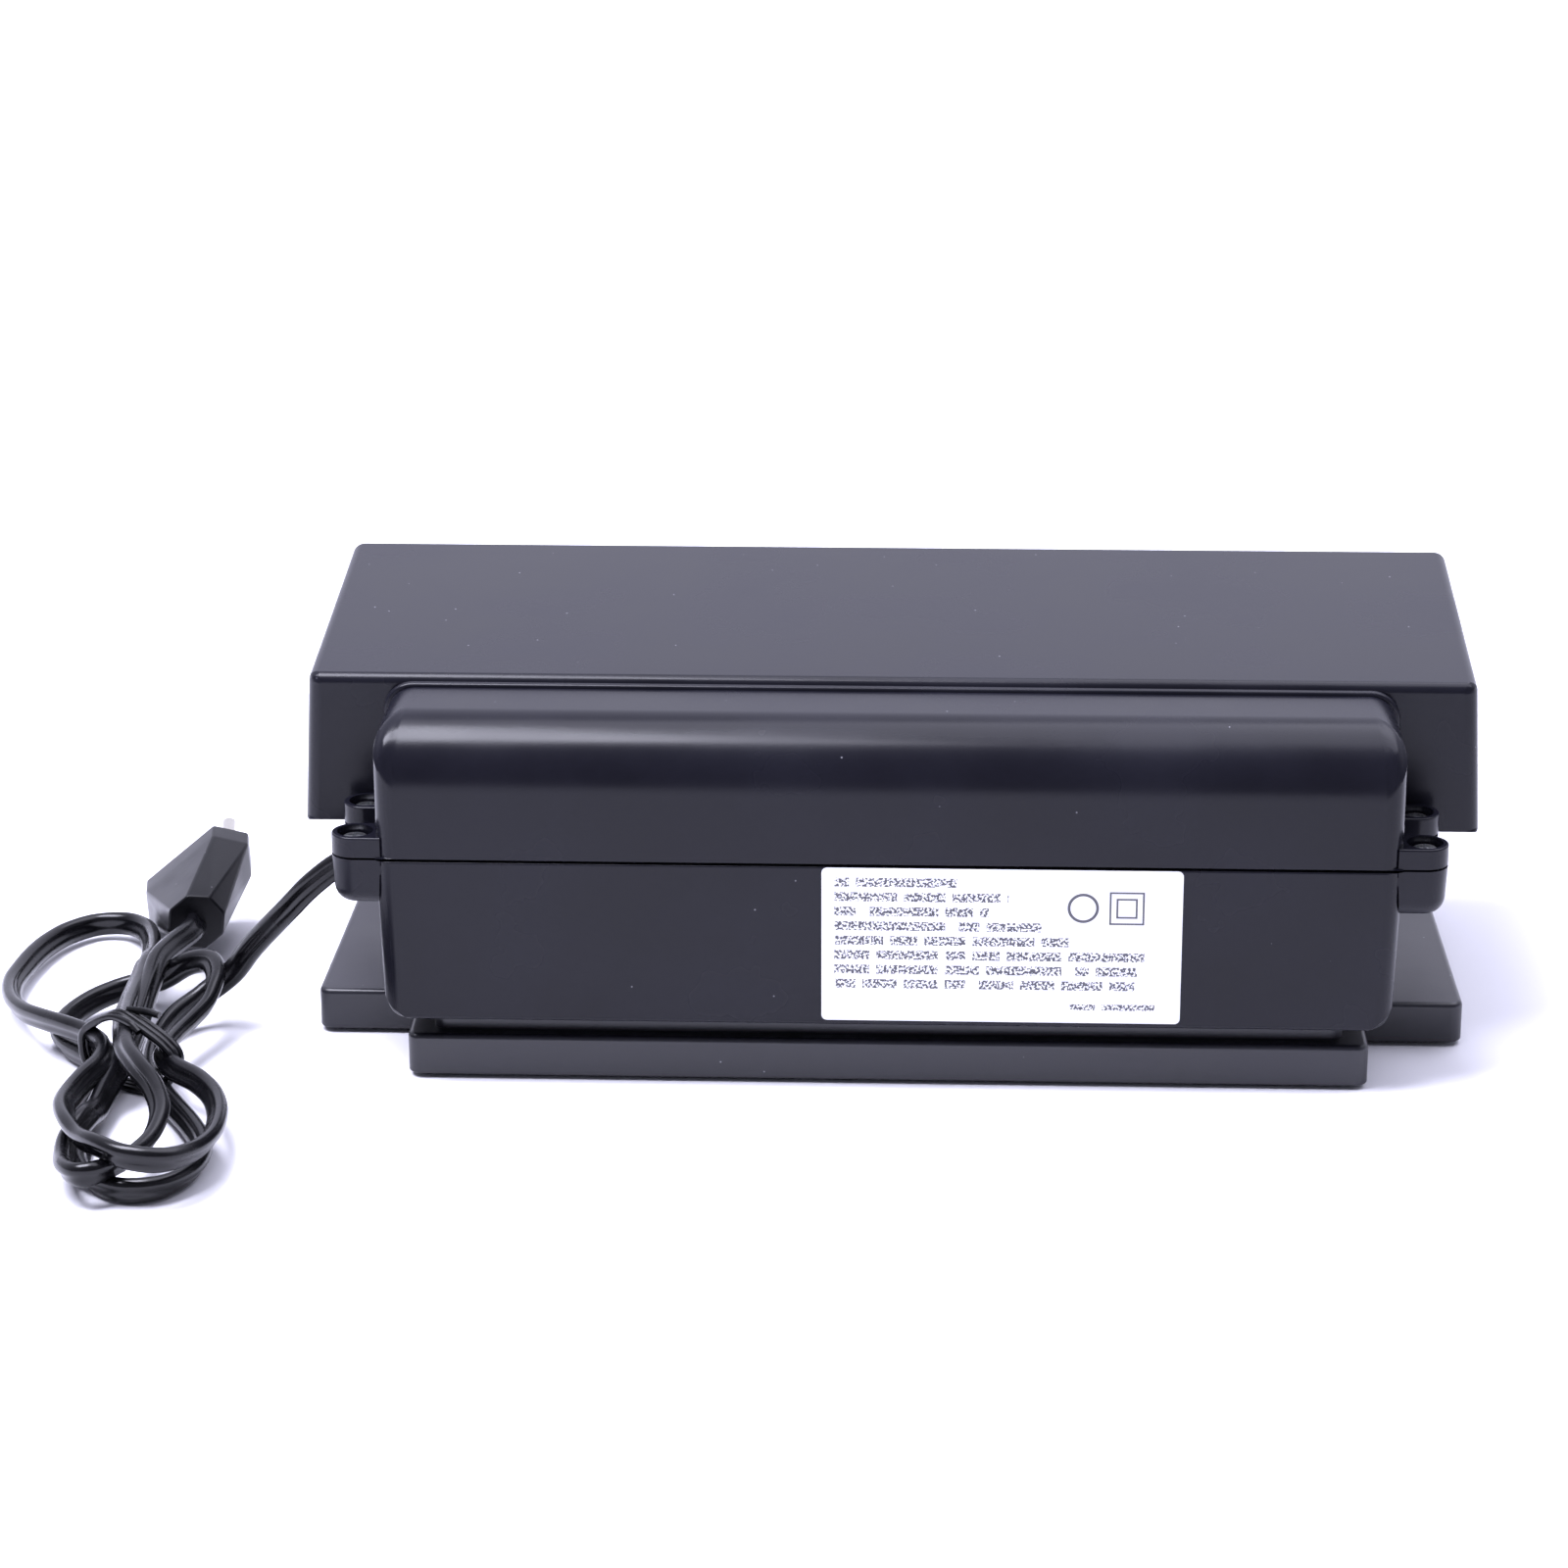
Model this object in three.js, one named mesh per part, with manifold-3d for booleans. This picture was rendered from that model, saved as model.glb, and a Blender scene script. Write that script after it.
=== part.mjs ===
// Ultraviolet counterfeit bill detector: a lamp hood on a rear ballast housing, over a T-shaped base.
// Millimetres. +Z is up, the lamps' open side faces -Y (the front), the ballast housing is at +Y (the rear).
// The origin is on the ground under the middle of the base and housing.
import * as THREE from "three";
import { ConvexGeometry } from "three/addons/geometries/ConvexGeometry.js";
import { mergeVertices } from "three/addons/utils/BufferGeometryUtils.js";
import Module from "manifold-3d";

const wasm = await Module();
wasm.setup();

// ---- Driving dimensions -------------------------------------------------------------------------

// Base: a wide note tray with a narrower tail under the housing.
const trayHalfWidth = 130; // at its rear edge
const trayTaper = 1.4; // each side, rear edge to front edge
const trayFrontY = -73;
const trayRearY = 44;
const tailInset = 5.5; // from the ends of the housing
const tailRearY = 70;
const footHeight = 1;
const baseHeight = 9.5; // without the feet
const baseWall = 2.5;
const baseCorner = 3;
const bottomPlateThickness = 2;
const footRadius = 6;
const footInset = 15; // foot centre from the edges of the base
const plinthInset = 11; // from the ends of the housing
const plinthFrontY = 29;
const plinthRearY = 66;
const plinthHeight = 4.7;

// Rear housing: a lower shell and an upper cover that meet at the seam.
const housingInset = 18; // from the sides of the hood
const shellDraft = 1; // each side, seam to floor
const housingFrontY = 28;
const housingRearY = 73;
const housingWall = 2.5;
const seamZ = 52.6;
const coverTopZ = 83;
const coverTopRadius = 15; // the long rounded edge at the top rear
const coverEndRadius = 8; // where the top turns down into the ends
const shellBottomRadius = 6;
const beadWidth = 2.2; // the raised rim that covers the gap to the hood
const beadProud = 0.9;

// Ears that the screws hold together, two on each end.
const earRadius = 5.2;
const earOverhang = 10; // outermost point beyond the housing's end
const earRearGap = 0.9; // in from the housing's rear face
const earSpace = 10; // between the near and the far ear, for the cord
const earHoodGap = 0.3; // the far ears stand just behind the hood
const earLugHeight = 4.8;
const earBossHeight = 11;
const earBossTaper = 0.6; // radius lost at the bottom
const counterboreRadius = 4;
const counterboreDepth = 2.8;

// Screws.
const screwRadius = 1.5;
const screwHeadRadius = 2.9;
const screwHeadHeight = 1.9;
const screwClearance = 0.3;
const earScrewLength = 11;
const baseScrewInset = 5; // from the sides of the plinth
const baseScrewYs = [34, 60];
const baseScrewBite = 8; // length in the shell's bosses
const bossRadius = 3.6;
const hoodScrewX = 70;
const hoodScrewZ = 74;
const hoodScrewBite = 5;
const reflectorScrewX = 60;
const reflectorScrewY = -6.5;
const reflectorScrewBite = 6;

// Lamp hood: open below, with a cut-out in its rear wall for the upper cover.
const hoodFrontY = -54.3;
const hoodBottomZ = 50.4;
const hoodStep = 2; // top of the rear wall above the cover
const hoodRise = 4; // how much higher the top is at the front
const hoodEndRoom = 13.6; // outside of the hood beyond the lamp holders, at the top of the rear wall
const hoodDraft = 1.8; // each side, wider at the bottom
const hoodFlare = 2.2; // each side, wider at the front
const hoodWall = 2.5;
const hoodCorner = 3.5; // upright edges
const hoodEdge = 2.5; // top edges
const hoodGap = 0.4; // between the cut-out and the cover

// Reflector: a folded sheet over the lamps.
const reflectorEnd = 4.6; // beyond the lamp holders
const reflectorSheet = 0.8;
const reflectorTopZ = 78;
const reflectorFrontY = -29;
const reflectorRearY = 17;
const reflectorSkirt = 14; // drop of its sloping sides
const reflectorSplay = 3.6; // how far each side leans out

// Lamps: 6 W T5 tubes, 212 mm over the caps, with two-pin ends.
const lampYs = { front: -19, rear: 6 };
const lampZ = 62;
const lampLength = 212;
const lampGlassRadius = 7.75;
const capRadius = 8;
const capLength = 8;
const pinRadius = 1.15;
const pinSpacing = 4.75;
const pinLength = 6.5;

// Lamp holders.
const holderThickness = 10;
const holderHalfWidth = 9;
const holderDrop = 8.5; // below the lamp's axis
const holderGap = 0.4; // to the lamp's cap
const pinPocketRadius = 4.2;
const pinSlot = 3;

// Electrical parts inside the housing.
const standY = 50; // the row that they stand in
const rowGap = 3.2; // between neighbours in the row
const starterRadius = 10.5;
const starterHeight = 34;
const starterPinGap = 0.3;
const socketRadius = 11.8;
const socketHeight = 9;
const ballastLength = 54;
const ballastEnd = 5; // thickness of each end of the core
const ballastWidth = 26;
const ballastHeight = 34;
const ballastLimb = 14; // square section of the core's limb
const coilClearance = 0.5;
const terminalWidth = 14;
const terminalDepth = 24;
const terminalHeight = 16;
const loomRadius = 1.6;

// Power switch, in the hood's front wall.
const switchX = 105;
const switchZ = 69;
const bezelWidth = 21;
const bezelHeight = 15;
const bezelThickness = 2;
const switchBodyWidth = 18.8;
const switchBodyHeight = 12.8;
const switchDepth = 16;
const switchTabLength = 5;
const switchCutoutGap = 0.3;
const switchPocketDepth = 9;
const rockerHalfWidth = 7.6;
const rockerHeight = 10;
const rockerGap = 0.5;
const rockerTilt = 10; // degrees each side of the middle

// Rating label on the shell's rear face.
const labelWidth = 78.6;
const labelHeight = 35.6;
const labelLeftX = -64.4;
const labelDrop = 0.4; // below the seam
const labelThickness = 0.3;
const labelCorner = 1.5;

// Mains lead: a flat two-core cord.
const cordWidth = 5.6;
const cordThickness = 3.4;
const cordSides = 8;
const cordGap = 0.3;
const grommetDrop = 7; // below the seam
const grommetRoom = 4.3; // its axis from the far ear
const grommetRadius = 4.4;
const grommetNeck = 3.6;
const grommetOutside = 10;
const grommetInside = 10;
const grommetFlange = 1.2;

// The lead from the grommet to the bundle, and the tail from the bundle to the plug.
const leadPoints = [
  [121.8, 56, 45.6],
  [123.5, 55.9, 45.4],
  [127.5, 54.6, 42],
  [132.9, 51.7, 35.5],
  [138.2, 46.5, 28.8],
  [143, 42, 22.6],
  [147.2, 39.4, 17.6],
];
const tailPoints = [
  [166.4, 28.9, 13],
  [164.6, 21, 13],
  [163.2, 13.6, 13],
  [163.88, 9, 13],
];

// The tied bundle: the outline of its loops seen from above, and its tie.
const bundleOutline = [
  [159, 152], [149, 147], [141, 132], [137.5, 114], [142, 97], [150, 84], [153.5, 75],
  [152, 62], [149, 50], [149, 38], [154, 30], [162, 29.4], [169, 29.4], [171.4, 18],
  [175, 3], [179, -8], [184, -15], [191, -17], [200, -7], [206.5, 14], [208, 34], [202, 52],
  [193, 66], [184, 74.5], [180, 84], [181, 102], [178.5, 124], [174, 141], [168, 150],
];
const bundleHeight = 17.2;
const tieY = 75;
const tieWidth = 3.6;
const tieThickness = 1.2;
const tieInset = 1.8; // the loops are pulled in under the tie
const bundleWaist = [154.5, 181]; // X of the bundle's two sides at the tie

// Plug: a flat six-sided pin end that tapers in facets to an eight-sided cable end.
const plugRear = [163.9, 8.6, 13];
const plugYaw = 8.5; // degrees, its nose towards +X
const plugRoll = 39; // degrees, how far it leans over on the floor
const plugLength = 34;
const plugRim = 8;
const plugHalfWidth = 15.8;
const plugHalfFlat = 10.8;
const plugHalfHeight = 7;
const plugEndRadius = 7;
const plugPinRadius = 2;
const plugPinLength = 19;
const plugPinSpacing = 18.6;
const plugPinBore = 5;
const plugPinGap = 0.3;

// ---- Derived places -----------------------------------------------------------------------------

const baseBottomZ = footHeight;
const baseTopZ = footHeight + baseHeight;
const shellFloorZ = baseTopZ + plinthHeight;
const shellInnerZ = shellFloorZ + housingWall;
const holderX = lampLength / 2 + holderGap;
const hoodHalfWidth = holderX + holderThickness + hoodEndRoom;
const hoodRearTopZ = coverTopZ + hoodStep;
const housingHalfWidth = hoodHalfWidth - housingInset; // at the seam and above
const tailHalfWidth = housingHalfWidth - tailInset;
const plinthHalfWidth = housingHalfWidth - plinthInset;
const baseScrewX = plinthHalfWidth - baseScrewInset;
const earX = housingHalfWidth + earOverhang - earRadius;
const earNearY = housingRearY - earRearGap - earRadius;
const earFarY = earNearY - 2 * earRadius - earSpace;
const grommetY = earFarY + earRadius + grommetRoom;
const hoodRearY = earFarY - earRadius - earHoodGap;
const labelBottomZ = seamZ - labelDrop - labelHeight;
const grommetZ = seamZ - grommetDrop;
const reflectorHalfLength = holderX + holderThickness + reflectorEnd;
const reflectorUnderZ = reflectorTopZ - reflectorSheet;
const rockerPivotY = hoodFrontY + 1.5;

// Two starters, two ballasts and a terminal block, in a row about the middle of the housing.
const rowLengths = [2 * socketRadius, 2 * socketRadius, ballastLength, ballastLength, terminalWidth];
const rowTotal = rowLengths.reduce((sum, length) => sum + length + rowGap, -rowGap);
const rowXs = rowLengths.map((length, i) =>
  rowLengths.slice(0, i).reduce((x, before) => x + before + rowGap, (length - rowTotal) / 2),
);
const starterXs = rowXs.slice(0, 2);
const ballastXs = rowXs.slice(2, 4);
const terminalX = rowXs[4];

// ---- Materials ----------------------------------------------------------------------------------

const finish = (color, roughness, metalness = 0) => ({ color, roughness, metalness });
const blackPlastic = finish(0x33343e, 0.42);
const blackRubber = finish(0x1b1b1d, 0.8);
const zincSteel = finish(0xa8abb0, 0.35, 1);
const whitePlastic = finish(0xe4e2dc, 0.4);
const aluminiumSheet = finish(0xd5d8dc, 0.25, 1);
const lampGlass = finish(0x241b3a, 0.12);
const copperWinding = finish(0x8a4a24, 0.45, 0.6);
const laminatedSteel = finish(0x55575c, 0.55, 0.9);
const labelPaper = finish(0xf1f2f4, 0.5);
const cordPvc = finish(0x17181b, 0.3);
const nickelPin = finish(0xc9c8c3, 0.25, 1);

// ---- Solids -------------------------------------------------------------------------------------

// A geometry with its shared vertices merged, so that its faces join up.
function closed(geometry) {
  const bare = geometry.index ? geometry.toNonIndexed() : geometry.clone();
  bare.deleteAttribute("normal");
  bare.deleteAttribute("uv");
  return mergeVertices(bare, 1e-4);
}

// A closed three.js geometry as a solid that can be joined and cut.
function solid(geometry) {
  const merged = closed(geometry);
  return new wasm.Manifold(
    new wasm.Mesh({
      numProp: 3,
      vertProperties: merged.attributes.position.array,
      triVerts: new Uint32Array(merged.index.array),
    }),
  );
}

function geometryOf(body) {
  const mesh = body.getMesh();
  const geometry = new THREE.BufferGeometry();
  geometry.setAttribute("position", new THREE.BufferAttribute(mesh.vertProperties, 3));
  geometry.setIndex(new THREE.BufferAttribute(mesh.triVerts, 1));
  geometry.computeVertexNormals();
  return geometry;
}

const join = (...bodies) => bodies.reduce((whole, body) => whole.add(body));
const cut = (body, ...tools) => tools.reduce((rest, tool) => rest.subtract(tool), body);

function box(x, y, z) {
  const geometry = new THREE.BoxGeometry(x[1] - x[0], y[1] - y[0], z[1] - z[0]);
  geometry.translate((x[0] + x[1]) / 2, (y[0] + y[1]) / 2, (z[0] + z[1]) / 2);
  return solid(geometry);
}

// A round bar along one axis, from its start point; its two end radii may differ.
function bar(axis, start, length, radius, endRadius = radius, sides = 24) {
  const geometry = new THREE.CylinderGeometry(endRadius, radius, length, sides);
  geometry.translate(0, length / 2, 0);
  if (axis === "x") geometry.rotateZ(-Math.PI / 2);
  if (axis === "z") geometry.rotateX(Math.PI / 2);
  geometry.translate(...start);
  return solid(geometry);
}

// Which way an extrusion's outline and its depth run.
const planes = {
  xy: new THREE.Matrix4(), // outline (x, y), depth to +Z
  yz: new THREE.Matrix4().makeBasis(
    new THREE.Vector3(0, 1, 0),
    new THREE.Vector3(0, 0, 1),
    new THREE.Vector3(1, 0, 0),
  ), // outline (y, z), depth to +X
  xz: new THREE.Matrix4().makeBasis(
    new THREE.Vector3(1, 0, 0),
    new THREE.Vector3(0, 0, 1),
    new THREE.Vector3(0, -1, 0),
  ), // outline (x, z), depth to -Y
};

function prism(plane, outline, start, depth) {
  const geometry = new THREE.ExtrudeGeometry(outline, {
    depth,
    bevelEnabled: false,
    curveSegments: 5,
  });
  geometry.applyMatrix4(planes[plane]);
  const shift = { xy: [0, 0, start], yz: [start, 0, 0], xz: [0, start, 0] }[plane];
  geometry.translate(...shift);
  return solid(geometry);
}

// A closed outline through corner points [u, v, radius], each corner rounded by its radius.
function outlineOf(corners) {
  const shape = new THREE.Shape();
  const count = corners.length;
  const towards = (from, to, distance) => {
    const run = Math.hypot(to[0] - from[0], to[1] - from[1]);
    return [0, 1].map((k) => from[k] + ((to[k] - from[k]) * distance) / run);
  };
  corners.forEach((corner, i) => {
    const before = corners[(i + count - 1) % count];
    const after = corners[(i + 1) % count];
    const radius = corner[2] ?? 0;
    const start = radius ? towards(corner, before, radius) : corner;
    if (i === 0) shape.moveTo(start[0], start[1]);
    else shape.lineTo(start[0], start[1]);
    if (radius) shape.quadraticCurveTo(corner[0], corner[1], ...towards(corner, after, radius));
  });
  shape.closePath();
  return shape;
}

function rectangle(u, v, radius = 0) {
  return outlineOf([
    [u[0], v[0], radius],
    [u[1], v[0], radius],
    [u[1], v[1], radius],
    [u[0], v[1], radius],
  ]);
}

// The same body on the left and on the right.
const bothEnds = (make) => join(make(-1), make(1));
const span = (a, b) => [Math.min(a, b), Math.max(a, b)];

const root = new THREE.Group();
root.name = "bill_detector";

function addPart(name, body, material) {
  const geometry = body instanceof THREE.BufferGeometry ? body : geometryOf(body);
  const mesh = new THREE.Mesh(geometry, new THREE.MeshStandardMaterial(material));
  mesh.name = name;
  root.add(mesh);
  return mesh;
}

// ---- Base ---------------------------------------------------------------------------------------

const trayHalfWidthAt = (y) =>
  trayHalfWidth - (trayTaper * (trayRearY - y)) / (trayRearY - trayFrontY);

function baseOutline(inset, corner) {
  const front = trayFrontY + inset;
  const rear = trayRearY - inset;
  const frontX = trayHalfWidthAt(front) - inset;
  const rearX = trayHalfWidthAt(rear) - inset;
  const tailX = tailHalfWidth - inset;
  const tailY = tailRearY - inset;
  return outlineOf([
    [-frontX, front, corner],
    [frontX, front, corner],
    [rearX, rear, corner],
    [tailX, rear],
    [tailX, tailY, corner],
    [-tailX, tailY, corner],
    [-tailX, rear],
    [-rearX, rear, corner],
  ]);
}

const baseScrewPlaces = [-1, 1].flatMap((side) =>
  baseScrewYs.map((y) => [side * baseScrewX, y]),
);
const baseScrewStartZ = baseBottomZ + bottomPlateThickness;

function basePlate() {
  const plate = prism("xy", baseOutline(0, baseCorner), baseBottomZ, baseHeight);
  const hollow = prism(
    "xy",
    baseOutline(baseWall, baseCorner / 2),
    baseBottomZ - 1,
    baseHeight + 1 - baseWall,
  );
  const plinth = prism(
    "xy",
    rectangle([-plinthHalfWidth, plinthHalfWidth], [plinthFrontY, plinthRearY], baseCorner),
    baseTopZ - 0.5,
    plinthHeight + 0.5,
  );
  const posts = baseScrewPlaces.map(([x, y]) =>
    bar("z", [x, y, baseScrewStartZ], baseTopZ - 1 - baseScrewStartZ, bossRadius),
  );
  const holes = baseScrewPlaces.map(([x, y]) =>
    bar("z", [x, y, baseBottomZ], shellFloorZ, screwRadius + screwClearance, undefined, 12),
  );
  return cut(join(cut(plate, hollow), plinth, ...posts), ...holes);
}

function bottomPlate() {
  const plate = prism(
    "xy",
    baseOutline(baseWall + screwClearance, baseCorner / 2),
    baseBottomZ,
    bottomPlateThickness,
  );
  const holes = baseScrewPlaces.map(([x, y]) =>
    bar("z", [x, y, 0], shellFloorZ, screwHeadRadius + screwClearance, undefined, 16),
  );
  return cut(plate, ...holes);
}

function panScrew(axis, direction, head, shaftLength, name) {
  const along = { x: [1, 0, 0], y: [0, 1, 0], z: [0, 0, 1] }[axis].map((k) => k * direction);
  const at = (distance) => head.map((k, i) => k + along[i] * distance);
  const ordered = (distance, length) => (direction > 0 ? at(distance) : at(distance + length));
  const headBody = bar(axis, ordered(0, screwHeadHeight), screwHeadHeight, screwHeadRadius, undefined, 16);
  const shaft = bar(
    axis,
    ordered(screwHeadHeight - 0.5, shaftLength + 0.5),
    shaftLength + 0.5,
    screwRadius,
    undefined,
    10,
  );
  addPart(name, join(headBody, shaft), zincSteel);
}

addPart("base_plate", basePlate(), blackPlastic);
addPart("bottom_plate", bottomPlate(), blackPlastic);

const footPlaces = {
  front_left: [-(trayHalfWidth - footInset), trayFrontY + footInset],
  front_right: [trayHalfWidth - footInset, trayFrontY + footInset],
  rear_left: [-(tailHalfWidth - footInset), tailRearY - footInset],
  rear_right: [tailHalfWidth - footInset, tailRearY - footInset],
};
for (const [place, [x, y]] of Object.entries(footPlaces))
  addPart(`foot_${place}`, bar("z", [x, y, 0], footHeight, footRadius, undefined, 20), blackRubber);

baseScrewPlaces.forEach(([x, y], i) => {
  const length = shellInnerZ - baseScrewStartZ + baseScrewBite;
  const head = [x, y, baseScrewStartZ - screwHeadHeight];
  panScrew("z", 1, head, length, `base_screw_${i + 1}`);
});

// ---- Rear housing -------------------------------------------------------------------------------

const earPlaces = [-1, 1].flatMap((side) => [earNearY, earFarY].map((y) => [side, side * earX, y]));

// A round ear with a web back into the housing's end wall, between two heights.
function ear(side, x, y, bottom, top, bottomRadius = earRadius) {
  const post = bar("z", [x, y, bottom], top - bottom, bottomRadius, earRadius, 20);
  const wallX = side * (housingHalfWidth - housingWall / 2);
  const web = box(span(wallX, x), [y - bottomRadius, y + bottomRadius], [bottom, top]);
  return join(post, web);
}

function shellBody(inset, top) {
  const bottom = shellFloorZ + inset;
  const floorX = housingHalfWidth - shellDraft - inset;
  const seamX = housingHalfWidth - inset;
  const outline = outlineOf([
    [-floorX, bottom, shellBottomRadius],
    [floorX, bottom, shellBottomRadius],
    [seamX, top],
    [-seamX, top],
  ]);
  const depth = housingRearY - housingFrontY - 2 * inset;
  return prism("xz", outline, housingRearY - inset, depth);
}

function rearLowerShell() {
  const hollow = shellBody(housingWall, seamZ + 1);
  const bosses = baseScrewPlaces.map(([x, y]) =>
    bar("z", [x, y, shellInnerZ - 0.5], baseScrewBite + 2, bossRadius),
  );
  const pilots = baseScrewPlaces.map(([x, y]) =>
    bar("z", [x, y, 0], shellInnerZ + baseScrewBite + 1, screwRadius + screwClearance, undefined, 12),
  );
  const ears = earPlaces.map(([side, x, y]) =>
    ear(side, x, y, seamZ - earBossHeight, seamZ, earRadius - earBossTaper),
  );
  const earPilots = earPlaces.map(([, x, y]) =>
    bar("z", [x, y, seamZ - earBossHeight + 1.5], earBossHeight, screwRadius + screwClearance, undefined, 12),
  );
  const cordHole = bar(
    "x",
    [housingHalfWidth - 2 * housingWall, grommetY, grommetZ],
    4 * housingWall,
    grommetNeck + cordGap,
  );
  const shell = cut(shellBody(0, seamZ), hollow);
  return cut(join(shell, ...bosses, ...ears), ...pilots, ...earPilots, cordHole);
}

// The cover's outside or inside: its long profile, cut to its rounded end outline.
function coverBody(inset, bottom) {
  const rear = housingRearY - inset;
  const top = coverTopZ - inset;
  const front = housingFrontY + inset;
  const halfWidth = housingHalfWidth - inset;
  const roundTop = Math.max(coverTopRadius - inset, 1);
  const profile = new THREE.Shape();
  profile.moveTo(front, bottom);
  profile.lineTo(rear, bottom);
  profile.lineTo(rear, top - roundTop);
  profile.absarc(rear - roundTop, top - roundTop, roundTop, 0, Math.PI / 2);
  profile.lineTo(front, top);
  profile.closePath();
  const ends = outlineOf([
    [-halfWidth, bottom - 1],
    [halfWidth, bottom - 1],
    [halfWidth, top, coverEndRadius],
    [-halfWidth, top, coverEndRadius],
  ]);
  return prism("yz", profile, -halfWidth, 2 * halfWidth).intersect(
    prism("xz", ends, rear, rear - front),
  );
}

function rearUpperCover() {
  const shell = cut(coverBody(0, seamZ), coverBody(housingWall, seamZ - 1));
  const beadOutline = (grow) =>
    outlineOf([
      [-housingHalfWidth - grow, seamZ],
      [housingHalfWidth + grow, seamZ],
      [housingHalfWidth + grow, coverTopZ + grow, coverEndRadius],
      [-housingHalfWidth - grow, coverTopZ + grow, coverEndRadius],
    ]);
  const beadRearY = hoodRearY + screwClearance + beadWidth;
  const bead = cut(
    prism("xz", beadOutline(beadProud), beadRearY, beadWidth),
    prism("xz", beadOutline(-housingWall / 2), beadRearY + 1, beadWidth + 2),
  );
  const ears = earPlaces.map(([side, x, y]) => ear(side, x, y, seamZ, seamZ + earLugHeight));
  const seats = earPlaces.map(([, x, y]) =>
    bar("z", [x, y, seamZ + earLugHeight - counterboreDepth], counterboreDepth + 1, counterboreRadius),
  );
  const holes = earPlaces.map(([, x, y]) =>
    bar("z", [x, y, seamZ - 1], earLugHeight + 2, screwRadius + screwClearance, undefined, 12),
  );
  const hoodHoles = [-1, 1].map((side) =>
    bar(
      "y",
      [side * hoodScrewX, housingFrontY - 1, hoodScrewZ],
      housingWall + 2,
      screwRadius + screwClearance,
      undefined,
      12,
    ),
  );
  return cut(join(shell, bead, ...ears), ...seats, ...holes, ...hoodHoles);
}

addPart("rear_lower_shell", rearLowerShell(), blackPlastic);
addPart("rear_upper_cover", rearUpperCover(), blackPlastic);
earPlaces.forEach(([, x, y], i) => {
  const head = [x, y, seamZ + earLugHeight - counterboreDepth + screwHeadHeight];
  panScrew("z", -1, head, earScrewLength, `ear_screw_${i + 1}`);
});

function ratingLabel() {
  const outline = outlineOf([
    [labelLeftX, labelBottomZ, labelCorner],
    [labelLeftX + labelWidth, labelBottomZ, labelCorner],
    [labelLeftX + labelWidth, labelBottomZ + labelHeight, labelCorner],
    [labelLeftX, labelBottomZ + labelHeight, labelCorner],
  ]);
  return prism("xz", outline, housingRearY + labelThickness, labelThickness);
}
addPart("rating_label", ratingLabel(), labelPaper);

// ---- Lamp hood ----------------------------------------------------------------------------------

// The drafted, flared outside or inside of the hood, made from an upright slab.
function hoodBody(inset) {
  const height = hoodRearTopZ - hoodBottomZ;
  const halfWidth = hoodHalfWidth - inset;
  const shrunk = inset + hoodEdge; // the bevel grows the outline again by hoodEdge
  const outline = rectangle(
    [shrunk - hoodHalfWidth, hoodHalfWidth - shrunk],
    [hoodFrontY + shrunk, hoodRearY - shrunk],
    hoodCorner - hoodEdge,
  );
  const slab = new THREE.ExtrudeGeometry(outline, {
    depth: height - inset + hoodEdge,
    bevelThickness: hoodEdge,
    bevelSize: hoodEdge,
    bevelSegments: 3,
    curveSegments: 4,
  });
  slab.translate(0, 0, hoodBottomZ - 2 * hoodEdge);
  const geometry = closed(slab);
  const points = geometry.attributes.position;
  for (let i = 0; i < points.count; i++) {
    const [x, y, z] = [points.getX(i), points.getY(i), points.getZ(i)];
    const up = Math.max(0, (z - hoodBottomZ) / height);
    const forward = (hoodRearY - y) / (hoodRearY - hoodFrontY);
    const widen = hoodDraft * (1 - up) + hoodFlare * forward;
    points.setX(i, x + (Math.sign(x) * widen * Math.abs(x)) / halfWidth);
    points.setZ(i, z + hoodRise * forward * up);
  }
  const wide = 2 * hoodHalfWidth;
  const below = box([-wide, wide], [2 * hoodFrontY, 2 * hoodRearY], [0, hoodBottomZ]);
  return cut(solid(geometry), below);
}

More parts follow.
